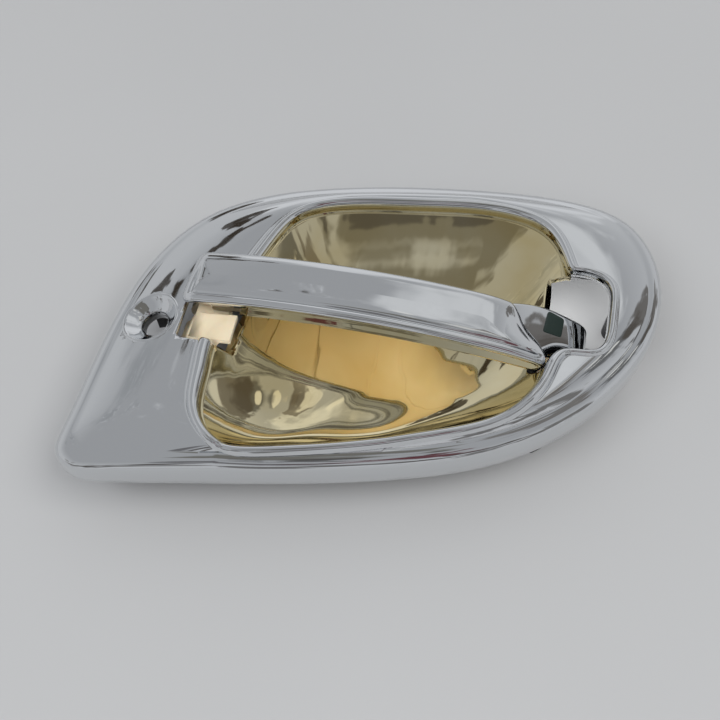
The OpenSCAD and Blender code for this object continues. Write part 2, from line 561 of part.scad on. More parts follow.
module crank_clip() color("slategray") difference() {
    along_x(crank_yz, crank_pin_x[1] - 1.15, crank_pin_x[1] - 0.55, crank_pin_r + 1.8);
    along_x(crank_yz, crank_pin_x[1] - 3, crank_pin_x[1] + 1, crank_pin_r - 0.45);
    translate([crank_pin_x[1] - 3, crank_yz[0] - 1.3, crank_yz[1] - 10]) cube([4, 2.6, 10]);
}

// ---- rod clip ----
clip_x = [crank_x[1] - arm_t - 6.4, crank_x[1] - arm_t - 0.4];
clip_r = rod_r + 1.2;
clip_l = 9;
module rod_clip() color("whitesmoke") difference() {
    union() {
        translate([clip_x[0], out_at[0] - clip_l + 3, out_at[1] - clip_r])
            cube([clip_x[1] - clip_x[0], clip_l, 2 * clip_r]);
        along_x(out_at, clip_x[1] - 1, crank_x[1] + 0.9, clip_pin_r);
    }
    translate([(clip_x[0] + clip_x[1]) / 2, out_at[0] + 1, out_at[1]]) rotate([90, 0, 0])
        cylinder(h = clip_l, r = rod_r, $fn = fn_round);
}

// ---- chassis ----
posts = placed([[-80, -40], [-62, 46], [92.5, 54], [10, 75]]);
post_r = insert_or + 1.2;
well = [X(56.5), Y(-5), X(83.5), Y(39.5)];
well_cut = [X(58), Y(27)];
well_low = 8;
floor_t = 1.6;
module inside_wall() difference() {
    prism_of(shrink(ring(edge, 3), 9), 0, plate_z + 1);
    prism_of(offset_ring(rim_ring, 1.5), -1, plate_z + 2);
}
module chassis() color([0.16, 0.16, 0.17]) difference() {
    union() {
        difference() {
            union() {
                prism_of(shrink(ring(edge, 3), 4.6), plate_z, plate_top);
                // perimeter wall
                difference() {
                    prism_of(shrink(ring(edge, 3), 9), door_z - 13, plate_z + eps);
                    prism_of(shrink(ring(edge, 3), 9 + rib_t + 0.4), -1, plate_z - eps);
                }
                // ribs between the wall and the bowl's opening
                intersection() {
                    inside_wall();
                    union() {
                        for (x = steps(X(-84), X(100), 9))
                            translate([x, -plate_w / 2, plate_z - 8]) cube([rib_t, plate_w, 8 + eps]);
                        for (y = steps(Y(-46), Y(70), 6))
                            translate([-plate_l / 2, y, plate_z - 8]) cube([plate_l, rib_t, 8 + eps]);
                    }
                }
            }
            prism_of(rim_ring, -1, plate_top + 1);
            // ways through for the hinge block, the window and the mechanism
            translate([X(-71), block_y[0] - ear_gap, -1])
                cube([X(-48) - X(-71), block_y[1] - block_y[0] + 2 * ear_gap, 40]);
            translate([X(-71), ears_y[0] - 4, -1])
                cube([X(-48) - X(-71), ears_y[1] + ear_t + 4 - ears_y[0] + 4, plate_z + 1 - eps]);
            translate([X(55), Y(19), -1]) cube([X(88) - X(55), Y(61) - Y(19), 40]);
            translate([X(54), Y(-9), -1]) cube([X(91) - X(54), Y(79) - Y(-9), plate_z + 1 - eps]);
            translate([X(80), Y(14), -1]) cube([40, Y(72) - Y(14), plate_z + 1 - eps]);
            translate([crank_x[0] - 0.6, Y(9), -1]) cube([arm_t + 1.6, Y(20) - Y(9), 40]);
        }
        // ears of the handle's pivot
        for (y = ears_y)
            translate([X(-68.5), y, door_z - 4]) cube([X(-54) - X(-68.5), ear_t, 14]);
        // well round the bellcrank
        difference() {
            intersection() {
                prism_of(shrink(ring(edge, 3), 9), 0, plate_z + 1);
                translate([well[0], well[1], 0])
                    cube([well[2] - well[0], well[3] - well[1], plate_z + eps]);
            }
            intersection() {
                prism_of(shrink(ring(edge, 3), 9 + rib_t + 0.4), floor_t, 60);
                translate([well[0] + rib_t, well[1] + rib_t, floor_t])
                    cube([well[2] - well[0] - 2 * rib_t, well[3] - well[1] - 2 * rib_t, 60]);
            }
            translate([well[0] - 1, well[1] - 1, door_z - 7]) cube([X(60.5) - well[0] + 1, 60, 40]);
            translate([well[0] - 1, well_cut[1], well_low]) cube([60, 60, 40]);
        }
        // ears of the bellcrank's pin
        for (x = crank_ears_x)
            translate([x, crank_yz[0] - 5, crank_yz[1] - 4])
                cube([crank_ear_t, 10, plate_z + 1 - crank_yz[1] + 4]);
        for (p = posts)
            translate([p[0], p[1], 0]) cylinder(h = plate_z + 1, r = post_r, $fn = fn_round);
        for (p = plate_screws)
            translate([p[0], p[1], plate_z]) cylinder(h = chassis_t, r = plate_boss_r + 2, $fn = fn_round);
    }
    along_y(pivot, ears_y[0] - 5, ears_y[1] + 10, pin_r);
    along_y(pivot, ears_y[0] - 5, ears_y[0], pin_r + 2.4);
    along_y(pivot, ears_y[1] + ear_t, ears_y[1] + ear_t + 5, pin_r + 2.6);
    along_x(crank_yz, crank_ears_x[0] - 3, crank_ears_x[1] + 6, crank_pin_r);
    along_x(crank_yz, crank_ears_x[1] + crank_ear_t, crank_ears_x[1] + crank_ear_t + 4, crank_pin_r + 2.3);
    for (p = posts) {
        translate([p[0], p[1], -1]) cylinder(h = insert_l + 1, r = insert_or, $fn = fn_round);
        translate([p[0], p[1], 0]) cylinder(h = insert_l + 6, r = insert_r + 0.3, $fn = fn_round);
    }
    for (p = plate_screws) {
        translate([p[0], p[1], plate_z - 20]) cylinder(h = 40, r = plate_screw_r + 0.2, $fn = fn_round);
        translate([p[0], p[1], plate_z - 20]) cylinder(h = 20, r = plate_head_r + 0.6, $fn = fn_round);
    }
    // way out for the rod
    translate([clip_x[0] - 1, -plate_w / 2, floor_t])
        cube([crank_x[1] + 2.5 - clip_x[0], plate_w / 2 + out_at[0] + clip_pin_r + 1, 19]);
    // key hole
    translate([key_at[0], key_at[1], -1]) cylinder(h = 60, r = dish_r + 2.5, $fn = fn_round);
}
module threaded_inserts() color("goldenrod")
    for (p = posts)
        difference() {
            translate([p[0], p[1], 0]) cylinder(h = insert_l, r = insert_or, $fn = fn_round);
            translate([p[0], p[1], -1]) cylinder(h = insert_l + 2, r = insert_r, $fn = fn_round);
        }
gasket_in = 4.9;
gasket_w = 2.7;
module door_gasket() color([0.1, 0.1, 0.1]) difference() {
    prism_of(shrink(ring(edge, 3), gasket_in), door_z, plate_z);
    prism_of(shrink(ring(edge, 3), gasket_in + gasket_w), door_z - 1, plate_z + 1);
    for (p = posts)
        translate([p[0], p[1], 0]) cylinder(h = 60, r = post_r + 0.2, $fn = fn_round);
    for (p = plate_screws)
        translate([p[0], p[1], 0]) cylinder(h = 60, r = plate_head_r + 0.2, $fn = fn_round);
}
module bump_stops() color([0.08, 0.08, 0.08]) {
    translate([X(73), Y(28), floor_t]) cylinder(h = foot_z - floor_t, r = 2.6, $fn = fn_round);
}
crank_wire_r = 0.35;
module crank_spring() color("darkgray")
    translate([crank_x[0] + arm_t + 0.5, crank_yz[0], crank_yz[1]]) rotate([0, 0, -90])
        wire(coil_path(crank_hub_r + 0.5, crank_x[1] - crank_x[0] - 2 * arm_t - 1, 1.25, 3, 3),
            crank_wire_r);

escutcheon();
bowl();
chassis();
door_gasket();
handle_cover();
handle_inner_shell();
handle_cover_screws();
leg_pad();
pivot_pin();
pivot_bushes();
pivot_clip();
return_spring();
bump_stops();
bellcrank();
crank_pin();
crank_clip();
crank_spring();
counterweight();
rod_clip();
threaded_inserts();
escutcheon_screws();
bowl_screws();
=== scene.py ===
import json
import math

import bmesh
import bpy
import numpy as np
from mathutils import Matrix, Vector

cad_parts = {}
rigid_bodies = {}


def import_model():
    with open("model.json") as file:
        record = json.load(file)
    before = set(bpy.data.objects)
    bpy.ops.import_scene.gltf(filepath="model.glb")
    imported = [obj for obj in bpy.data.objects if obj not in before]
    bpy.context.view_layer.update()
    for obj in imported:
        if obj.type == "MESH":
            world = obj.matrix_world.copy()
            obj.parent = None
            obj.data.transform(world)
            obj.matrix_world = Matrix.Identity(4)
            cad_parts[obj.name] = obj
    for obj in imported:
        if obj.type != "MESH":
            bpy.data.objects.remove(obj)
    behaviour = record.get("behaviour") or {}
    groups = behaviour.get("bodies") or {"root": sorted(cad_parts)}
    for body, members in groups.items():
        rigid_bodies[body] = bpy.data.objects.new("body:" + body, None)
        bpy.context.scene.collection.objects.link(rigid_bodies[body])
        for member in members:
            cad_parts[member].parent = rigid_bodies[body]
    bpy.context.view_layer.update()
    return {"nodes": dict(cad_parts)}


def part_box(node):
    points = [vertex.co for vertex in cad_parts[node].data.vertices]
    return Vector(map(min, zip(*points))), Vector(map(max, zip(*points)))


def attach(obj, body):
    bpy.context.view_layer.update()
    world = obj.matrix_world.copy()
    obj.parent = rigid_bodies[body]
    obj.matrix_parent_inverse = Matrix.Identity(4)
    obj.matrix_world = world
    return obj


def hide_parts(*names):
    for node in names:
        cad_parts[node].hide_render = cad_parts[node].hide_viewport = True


for old in list(bpy.data.objects):
    bpy.data.objects.remove(old)
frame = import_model()
print("frame loaded")

mm = 0.001
planShift = (3.56481, 17.702)  # middle of the plan, taken off so that the part is centred
planScale = (1.00111, 1.00051)


# plan points in mm, moved to the centred frame
def toFrame(pts):
    return (np.array(pts, float) - planShift) * planScale


# control points of the plan's curves: outer edge, lip's inner side, lip's outer side
edgePts = toFrame([(-95.5, -38), (-97.5, -50.5), (-89, -56), (-80.5, -56), (-50, -50), (-15, -43.5),
                   (20, -35), (49.5, -25), (76, -7), (93, 14.5), (103, 35), (104.5, 59.5), (96, 80),
                   (81.5, 90.5), (50, 92), (9.5, 87.5), (-29, 79.5), (-63, 66.5), (-80.5, 50),
                   (-91, 26.5), (-95, -5)])
mouthPts = toFrame([(-52, -4.5), (-50, -14), (-50, -29), (-43.5, -37), (-36, -39.5), (-20, -35.5),
                    (-0.5, -30.5), (20, -23.5), (40, -16.5), (53.5, -8.5), (60.5, 2.5), (62.5, 12),
                    (66.5, 18.5), (73, 19), (79.5, 19.5), (83, 25), (83, 36), (83.5, 47.5), (79, 51.5),
                    (71.5, 52.5), (67.5, 51), (65.5, 57.5), (60, 67.5), (50.5, 73), (32, 74), (9.5, 70),
                    (-15, 66.5), (-32.5, 60.5), (-39, 51.5), (-44, 34), (-49, 17)])
groovePts = toFrame([(-58, -4), (-56, -14.5), (-55, -29.5), (-45.5, -40.5), (-35.5, -43.5), (-19, -39.5),
                     (0.5, -34.5), (21.5, -27.5), (41.5, -20), (56.5, -11.5), (65, 0.5), (67, 10),
                     (69, 16), (73, 16.5), (81, 17), (86, 24), (86, 36), (86.5, 49), (80.5, 54),
                     (71, 55), (70, 53.5), (68.5, 58.5), (63, 71), (52, 78), (31.5, 79), (8.5, 75),
                     (-16, 71), (-34.5, 64.5), (-43.5, 53), (-49, 35.5), (-54, 18)])
windowSide = toFrame([(64.5, 22), (65.5, 34), (66, 46)])  # the bowl ends here
rimPts = np.concatenate([mouthPts[:12], windowSide, mouthPts[21:]])


# uniform cubic B-spline through a closed ring of control points
def spline(pts, u):
    u = np.asarray(u, float)
    n = len(pts)
    i = np.floor(u).astype(int)
    t = (u - i)[:, None]
    a, b, c, d = (pts[(i + k) % n] for k in (-1, 0, 1, 2))
    first, last = (1 - t) ** 3, t**3
    early, late = 3 * t**3 - 6 * t**2 + 4, 1 + 3 * t + 3 * t**2 - 3 * t**3
    return (a * first + b * early + c * late + d * last) / 6


def ring(pts, per):
    return spline(pts, np.arange(len(pts) * per) / per)


def outwardNormals(pts):
    t = np.roll(pts, -1, 0) - np.roll(pts, 1, 0)
    n = np.stack([t[:, 1], -t[:, 0]], 1)
    return n / np.linalg.norm(n, axis=1)[:, None]


# one object at the origin, from points in mm
def newMesh(name, verts, faces, smooth=True):
    mesh = bpy.data.meshes.new(name)
    points = [tuple(float(c) * mm for c in v) for v in verts]
    mesh.from_pydata(points, [], [tuple(int(i) for i in f) for f in faces])
    mesh.validate()
    ob = bpy.data.objects.new(name, mesh)
    bpy.context.scene.collection.objects.link(ob)
    if smooth:
        mesh.polygons.foreach_set("use_smooth", [True] * len(mesh.polygons))
    return ob


def bandFaces(a, b, n, closed=True):
    last = n if closed else n - 1
    return [(a * n + k, a * n + (k + 1) % n, b * n + (k + 1) % n, b * n + k) for k in range(last)]


def fixNormals(ob):
    bm = bmesh.new()
    bm.from_mesh(ob.data)
    bmesh.ops.remove_doubles(bm, verts=bm.verts, dist=1e-7)
    bmesh.ops.recalc_face_normals(bm, faces=bm.faces)
    bm.to_mesh(ob.data)
    bm.free()


# the object with its modifiers made part of its mesh
def applied(ob):
    graph = bpy.context.evaluated_depsgraph_get()
    mesh = bpy.data.meshes.new_from_object(ob.evaluated_get(graph), depsgraph=graph)
    ob.modifiers.clear()
    ob.data = mesh
    return ob


# several mesh objects as one, with their faces kept
def joined(name, parts):
    bm = bmesh.new()
    slots = []
    for part in parts:
        base = len(slots)
        slots.extend(part.data.materials)
        before = len(bm.faces)
        bm.from_mesh(part.data)
        bm.faces.ensure_lookup_table()
        for f in bm.faces[before:]:
            f.material_index += base
    mesh = bpy.data.meshes.new(name)
    bm.to_mesh(mesh)
    bm.free()
    for m in slots:
        mesh.materials.append(m)
    for part in parts:
        bpy.data.objects.remove(part)
    ob = bpy.data.objects.new(name, mesh)
    bpy.context.scene.collection.objects.link(ob)
    return ob


# materials
def material(name, base, metallic=0.0, rough=0.3, **more):
    mat = bpy.data.materials.new(name)
    mat.use_nodes = True
    shader = mat.node_tree.nodes["Principled BSDF"]
    shader.inputs["Base Color"].default_value = (*base, 1)
    shader.inputs["Metallic"].default_value = metallic
    shader.inputs["Roughness"].default_value = rough
    for key, value in more.items():
        shader.inputs[key.replace("_", " ")].default_value = value
    return mat


# a noise on Object coordinates through a ramp, into one socket of the shader
def noiseInto(mat, socket, scale, low, high, detail=3.0, stretch=(1, 1, 1), colour=False, distortion=0.0):
    nodes, links = mat.node_tree.nodes, mat.node_tree.links
    shader = nodes["Principled BSDF"]
    coord = nodes.new("ShaderNodeTexCoord")
    turn = nodes.new("ShaderNodeMapping")
    turn.inputs["Scale"].default_value = stretch
    noise = nodes.new("ShaderNodeTexNoise")
    noise.inputs["Scale"].default_value = scale
    noise.inputs["Detail"].default_value = detail
    noise.inputs["Distortion"].default_value = distortion
    links.new(coord.outputs["Object"], turn.inputs["Vector"])
    links.new(turn.outputs["Vector"], noise.inputs["Vector"])
    if colour:
        ramp = nodes.new("ShaderNodeValToRGB")
        ramp.color_ramp.elements[0].position = 0.3
        ramp.color_ramp.elements[1].position = 0.7
        ramp.color_ramp.elements[0].color = (*low, 1)
        ramp.color_ramp.elements[1].color = (*high, 1)
        links.new(noise.outputs["Fac"], ramp.inputs["Fac"])
        links.new(ramp.outputs["Color"], shader.inputs[socket])
    else:
        span = nodes.new("ShaderNodeMapRange")
        span.inputs["From Min"].default_value = 0.3
        span.inputs["From Max"].default_value = 0.7
        span.inputs["To Min"].default_value = low
        span.inputs["To Max"].default_value = high
        links.new(noise.outputs["Fac"], span.inputs["Value"])
        links.new(span.outputs["Result"], shader.inputs[socket])
    return noise


def bumpInto(mat, scale, strength, distance, detail=4.0, stretch=(1, 1, 1)):
    nodes, links = mat.node_tree.nodes, mat.node_tree.links
    coord = nodes.new("ShaderNodeTexCoord")
    turn = nodes.new("ShaderNodeMapping")
    turn.inputs["Scale"].default_value = stretch
    noise = nodes.new("ShaderNodeTexNoise")
    noise.inputs["Scale"].default_value = scale
    noise.inputs["Detail"].default_value = detail
    bump = nodes.new("ShaderNodeBump")
    bump.inputs["Strength"].default_value = strength
    bump.inputs["Distance"].default_value = distance
    links.new(coord.outputs["Object"], turn.inputs["Vector"])
    links.new(turn.outputs["Vector"], noise.inputs["Vector"])
    links.new(noise.outputs["Fac"], bump.inputs["Height"])
    links.new(bump.outputs["Normal"], nodes["Principled BSDF"].inputs["Normal"])


# finishes: colour, metallic, roughness
chrome = material("chromePlate", (0.69, 0.705, 0.72), 1.0, 0.035)
noiseInto(chrome, "Roughness", 60, 0.025, 0.07, stretch=(1, 2.5, 1))
bumpInto(chrome, 45, 0.05, 0.0004)

goldMirror = material("tintedMirror", (0.8, 0.7, 0.44), 1.0, 0.04)
noiseInto(goldMirror, "Base Color", 28, (0.74, 0.62, 0.34), (0.86, 0.78, 0.54), colour=True, distortion=0.6)
bumpInto(goldMirror, 75, 0.22, 0.0009, detail=2.0, stretch=(1, 0.22, 0.3))

tanPlastic = material("tanMoulding", (0.86, 0.68, 0.42), 0.0, 0.22, Coat_Weight=0.35, Coat_Roughness=0.1,
                      Subsurface_Weight=0.12, Subsurface_Radius=(0.004, 0.002, 0.001))
noiseInto(tanPlastic, "Base Color", 35, (0.84, 0.68, 0.44), (0.90, 0.79, 0.58), colour=True)
bumpInto(tanPlastic, 220, 0.06, 0.0003)

blackNylon = material("blackNylon", (0.02, 0.02, 0.022), 0.0, 0.5)
noiseInto(blackNylon, "Roughness", 300, 0.42, 0.62)
bumpInto(blackNylon, 1600, 0.25, 0.0001)

rubber = material("blackRubber", (0.012, 0.014, 0.014), 0.0, 0.62)
noiseInto(rubber, "Base Color", 180, (0.009, 0.011, 0.011), (0.02, 0.024, 0.024), colour=True)
bumpInto(rubber, 900, 0.3, 0.0001)

padRubber = material("padRubber", (0.01, 0.022, 0.018), 0.0, 0.38)
noiseInto(padRubber, "Roughness", 250, 0.3, 0.48)

brightSteel = material("brightSteel", (0.56, 0.57, 0.58), 1.0, 0.22)
noiseInto(brightSteel, "Roughness", 400, 0.16, 0.32, stretch=(1, 6, 1))

darkSteel = material("darkZincSteel", (0.16, 0.165, 0.175), 1.0, 0.38)
noiseInto(darkSteel, "Roughness", 260, 0.3, 0.48)
bumpInto(darkSteel, 700, 0.15, 0.0001)

whiteAcetal = material("whiteAcetal", (0.72, 0.71, 0.67), 0.0, 0.34)
noiseInto(whiteAcetal, "Roughness", 200, 0.28, 0.42)

brass = material("knurledBrass", (0.66, 0.46, 0.16), 1.0, 0.3)
noiseInto(brass, "Roughness", 500, 0.22, 0.42)
print("materials made")

# escutcheon
escutcheon = dict(
    perPoint=14,  # mesh points for each control point
    skirtBottom=22.0,
    skirtTop=31.0,
    skirtChamfer=0.35,
    draft=0.6,
    filletRadius=6.0,
    filletRise=4.1,
    grooveHeight=38.5,
    lipHeight=2.6,
    lipBottom=35.5,
    lipWidth=4.6,  # where the lip is narrower than this, it is lower too
    wall=2.3,
    domePower=2.1,
    domeSteps=22,
    noseDrop=3.5,
)
hub = toFrame([(8, 28)])[0]
fine = ring(edgePts, 60)
fineAngle = np.degrees(np.arctan2(fine[:, 1] - hub[1], fine[:, 0] - hub[0])) % 360
order = np.argsort(fineAngle)
edgeAngles = fineAngle[order]
edgeRadii = np.linalg.norm(fine - hub, axis=1)[order]
fineNormal = outwardNormals(fine)[order]
rayCos = np.einsum("ij,ij->i", fineNormal, (fine[order] - hub) / edgeRadii[:, None])


# look up a value kept per bearing from the hub, round the circle
def byAngle(angle, values):
    return np.interp(np.asarray(angle) % 360, np.concatenate([edgeAngles - 360, edgeAngles, edgeAngles + 360]),
                     np.tile(values, 3))


grooveFine = ring(groovePts, 60)
grooveAngle = np.degrees(np.arctan2(grooveFine[:, 1] - hub[1], grooveFine[:, 0] - hub[0])) % 360
grooveRadius = np.linalg.norm(grooveFine - hub, axis=1)
everyDegree = np.arange(0, 360, 1.0)


# mean reach of the groove near a bearing
def grooveReach(a):
    return grooveRadius[np.abs((grooveAngle - a + 180) % 360 - 180) < 1.5].mean()


perDegree = np.array([grooveReach(a) for a in everyDegree])
kernel = np.exp(-0.5 * (np.arange(-60, 61) / 13.0) ** 2)
kernel /= kernel.sum()
plateau = np.convolve(np.tile(perDegree, 3), kernel, "same")[360:720]
cosPerDegree = np.clip(byAngle(everyDegree, rayCos), 0.5, 1)
acrossPlain = np.convolve(np.tile(cosPerDegree, 3), kernel, "same")[360:720]
aroundDegrees = np.concatenate([everyDegree, [360]])
aroundPlateau = np.concatenate([plateau, plateau[:1]])
acrossShare = np.concatenate([acrossPlain, acrossPlain[:1]])


# the dome and the skirt's top come down towards the key hole's end
def noseDrop(x):
    knots = toFrame([(-97, 0), (-70, 0), (-40, 0)])[:, 0]
    t = np.clip((knots[2] - x) / (knots[2] - knots[0]), 0, 1)
    return -escutcheon["noseDrop"] * t**1.5


# height of the dome over a plan point
def surfaceHeight(p):
    p = np.atleast_2d(p)
    d = p - hub
    angle = np.degrees(np.arctan2(d[:, 1], d[:, 0])) % 360
    r = np.linalg.norm(d, axis=1)
    outer = byAngle(angle, edgeRadii)
    across = np.interp(angle, aroundDegrees, acrossShare)
    inner = np.interp(angle, aroundDegrees, aroundPlateau)
    fillet = escutcheon["filletRadius"]
    t = np.clip(((outer - r) * across - fillet) / np.maximum((outer - inner) * across - fillet, 4.5), 0, 1)
    rise = 1 - (1 - t) ** escutcheon["domePower"]
    edgeX = hub[0] + outer * np.cos(np.radians(angle))
    low = escutcheon["skirtTop"] + escutcheon["filletRise"] + noseDrop(edgeX)
    return low + (escutcheon["grooveHeight"] - low) * rise


# across the lip from groove to mouth: share of its width, share of its height
lipCurve = [(0.05, 0.13), (0.1, 0.34), (0.17, 0.58), (0.26, 0.8), (0.37, 0.95), (0.5, 1.0), (0.63, 0.96),
            (0.75, 0.83), (0.85, 0.62), (0.93, 0.34), (0.98, 0.05)]


# the shell as closed rings, from the skirt's foot up, over the dome and the lip, and back down inside
def shellRings():
    per = escutcheon["perPoint"]
    groove = ring(groovePts, per)
    mouth = ring(mouthPts, per)
    n = len(groove)
    bearing = np.unwrap(np.arctan2(groove[:, 1] - hub[1], groove[:, 0] - hub[0]))
    # the bearings run on evenly, with no fold at the window's corners
    wide = np.concatenate([bearing - 2 * math.pi, bearing, bearing + 2 * math.pi])
    for _ in range(40):
        wide[1:-1] = 0.5 * wide[1:-1] + 0.25 * (wide[:-2] + wide[2:])
    wide = np.maximum.accumulate(wide)
    bearing = np.degrees(wide[n:2 * n])
    radius = byAngle(bearing, edgeRadii)
    edge = hub + radius[:, None] * np.stack([np.cos(np.radians(bearing)), np.sin(np.radians(bearing))], 1)
    normal = outwardNormals(edge)
    for _ in range(3):
        normal = 0.5 * normal + 0.25 * (np.roll(normal, 1, 0) + np.roll(normal, -1, 0))
        normal /= np.linalg.norm(normal, axis=1)[:, None]
    drop = noseDrop(edge[:, 0])
    top = escutcheon["skirtTop"] + drop
    foot, wall, draft = escutcheon["skirtBottom"], escutcheon["wall"], escutcheon["draft"]
    rad, chamfer = escutcheon["filletRadius"], escutcheon["skirtChamfer"]

    def flat(p, z):
        return np.column_stack([p, np.broadcast_to(z, n)])

    inset = edge - normal * rad
    start = surfaceHeight(inset)
    rings = [flat(edge - normal * 0.25, foot), flat(edge, foot + chamfer)]
    rings += [flat(edge - normal * draft * t, foot + chamfer + (top - foot - chamfer) * t) for t in (0.5, 1)]
    # rounded edge, a quarter of an ellipse that ends in a soft crease
    lastAngle = math.radians(80)
    for a in np.radians([12, 24, 36, 48, 60, 71, 80]):
        run = draft + (rad - draft) * (1 - math.cos(a)) / (1 - math.cos(lastAngle))
        climb = math.sin(a) / math.sin(lastAngle)
        rings.append(flat(edge - normal * run, top + (start - top) * climb))
    steps = escutcheon["domeSteps"]
    lipFoot = surfaceHeight(groove)
    for k in range(1, steps + 1):
        t = k / steps
        p = inset * (1 - t) + groove * t
        rings.append(flat(p, surfaceHeight(p)))
    width = np.linalg.norm(mouth - groove, axis=1)
    tall = escutcheon["lipHeight"] * np.clip(width / escutcheon["lipWidth"], 0.62, 1)
    for u, h in lipCurve:
        p = groove * (1 - u) + mouth * u
        rings.append(flat(p, lipFoot + tall * h))
    for z in (-0.5, -1.6):
        rings.append(flat(mouth, lipFoot + z))
    rings.append(flat(mouth, escutcheon["lipBottom"]))
    rings.append(flat(groove * 0.45 + mouth * 0.55, escutcheon["lipBottom"]))
    rings.append(flat(groove * 0.7 + mouth * 0.3, lipFoot - wall + 0.4))
    for t in (1, 0.66, 0.33, 0):
        p = inset * (1 - t) + groove * t
        rings.append(flat(p, surfaceHeight(p) - wall))
    # down the inside of the skirt
    for inside, z in ((wall + 1.6, top + 1.4), (wall + 0.6, top - 0.6), (wall, foot + 0.3),
                      (wall - 0.3, foot)):
        rings.append(flat(edge - normal * inside, z))
    return rings, n


rings, ringCount = shellRings()
shellFaces = []
for j in range(len(rings)):
    shellFaces += bandFaces(j, (j + 1) % len(rings), ringCount)
shell = newMesh("escutcheonShell", np.concatenate(rings), shellFaces)
fixNormals(shell)

# dished key hole
dish = dict(at=toFrame([(-77.6, 3.9)])[0], rimRadius=10.6, holeRadius=5.0, collarDepth=8.0, tilt=14.0,
            sides=72)


# a block with its four upright edges rounded
def roundedBox(name, low, high, radius, up):
    pts = []
    for cx, cy, start in ((high[0] - radius, high[1] - radius, 0), (low[0] + radius, high[1] - radius, 90),
                          (low[0] + radius, low[1] + radius, 180), (high[0] - radius, low[1] + radius, 270)):
        for turn in range(0, 91, 15):
            a = math.radians(start + turn)
            pts.append((cx + radius * math.cos(a), cy + radius * math.sin(a)))
    n = len(pts)
    verts = [(x, y, up[0]) for x, y in pts] + [(x, y, up[1]) for x, y in pts]
    faces = bandFaces(0, 1, n) + [tuple(range(n - 1, -1, -1)), tuple(range(n, 2 * n))]
    ob = newMesh(name, verts, faces, smooth=False)
    fixNormals(ob)
    return ob


def cut(ob, cutter):
    tool = ob.modifiers.new("cut", "BOOLEAN")
    tool.object = cutter
    tool.operation = "DIFFERENCE"
    tool.solver = "EXACT"
    applied(ob)
    bpy.data.objects.remove(cutter)


# a point of the dish, in a frame that leans with the shell
def dishPoint(r, a, z):
    tilt = math.radians(-dish["tilt"])
    x, y = r * math.cos(a), r * math.sin(a)
    base = float(surfaceHeight(dish["at"])[0])
    return (dish["at"][0] + x * math.cos(tilt) + z * math.sin(tilt), dish["at"][1] + y,
            base - x * math.sin(tilt) + z * math.cos(tilt))


notchBox = toFrame([(-65.6, -3.6), (-43, 33.4)])
cut(shell, roundedBox("notchCutter", notchBox[0], notchBox[1], 2.2, (29, 55)))
around = dish["sides"]
toolR, turns = dish["rimRadius"] - 0.5, [k * 2 * math.pi / around for k in range(around)]
tool = [dishPoint(toolR, a, z) for z in (-12, 8) for a in turns]
toolEnds = [tuple(range(around - 1, -1, -1)), tuple(range(around, 2 * around))]
cutter = newMesh("dishCutter", tool, bandFaces(0, 1, around) + toolEnds, smooth=False)
fixNormals(cutter)
cut(shell, cutter)

# radius, height, and how much of the height follows the shell: 1 at the rim, 0 at the bore
rimR, holeR, collar = dish["rimRadius"], dish["holeRadius"], dish["collarDepth"]
profile = [(rimR + 0.7, -0.55, 1), (rimR + 0.45, -0.1, 1), (rimR + 0.1, 0.18, 1), (rimR - 0.35, 0.22, 1),
           (rimR - 0.8, -0.02, 1), (rimR - 1.15, -0.45, 0.9), (8.2, -1.7, 0.55), (6.6, -2.9, 0.2),
           (5.5, -3.75, 0), (5.15, -4.1, 0), (holeR, -4.5, 0), (holeR, -collar, 0), (7.2, -collar, 0),
           (7.5, -5.2, 0), (9.2, -3.4, 0.4), (rimR, -2.2, 1)]
dishVerts = []
for r, z, follow in profile:
    for a in turns:
        p = np.array(dishPoint(r, a, z))
        onShell = float(surfaceHeight(p[:2])[0]) + z
        p[2] = p[2] * (1 - follow) + onShell * follow
        dishVerts.append(p)
dishFaces = []
for j in range(len(profile)):
    dishFaces += bandFaces(j, (j + 1) % len(profile), around)
dishRing = newMesh("dishRing", dishVerts, dishFaces)
fixNormals(dishRing)
for ob in (shell, dishRing):
    ob.data.materials.clear()
    ob.data.materials.append(chrome)
escutcheonPiece = joined("escutcheonChrome", [shell, dishRing])
escutcheonPiece.data.polygons.foreach_set("use_smooth", [True] * len(escutcheonPiece.data.polygons))
print("escutcheon made")

# bowl
bowlSizes = dict(flange=35.35, depth=20.5, wall=1.6, flangeWidth=3.2, perPoint=10, steps=45)
bowlMid = toFrame([(8, 2)])[0]


# how far down the bowl is at a share of the way out: gentle at the rear, steep at the front
def bowlFall(rim, share):
    v = (rim - bowlMid) / np.linalg.norm(rim - bowlMid, axis=1)[:, None]
    return 1 - share ** (2.6 + np.where(v[:, 1] < 0, 3.4, -0.6) * v[:, 1] ** 2)


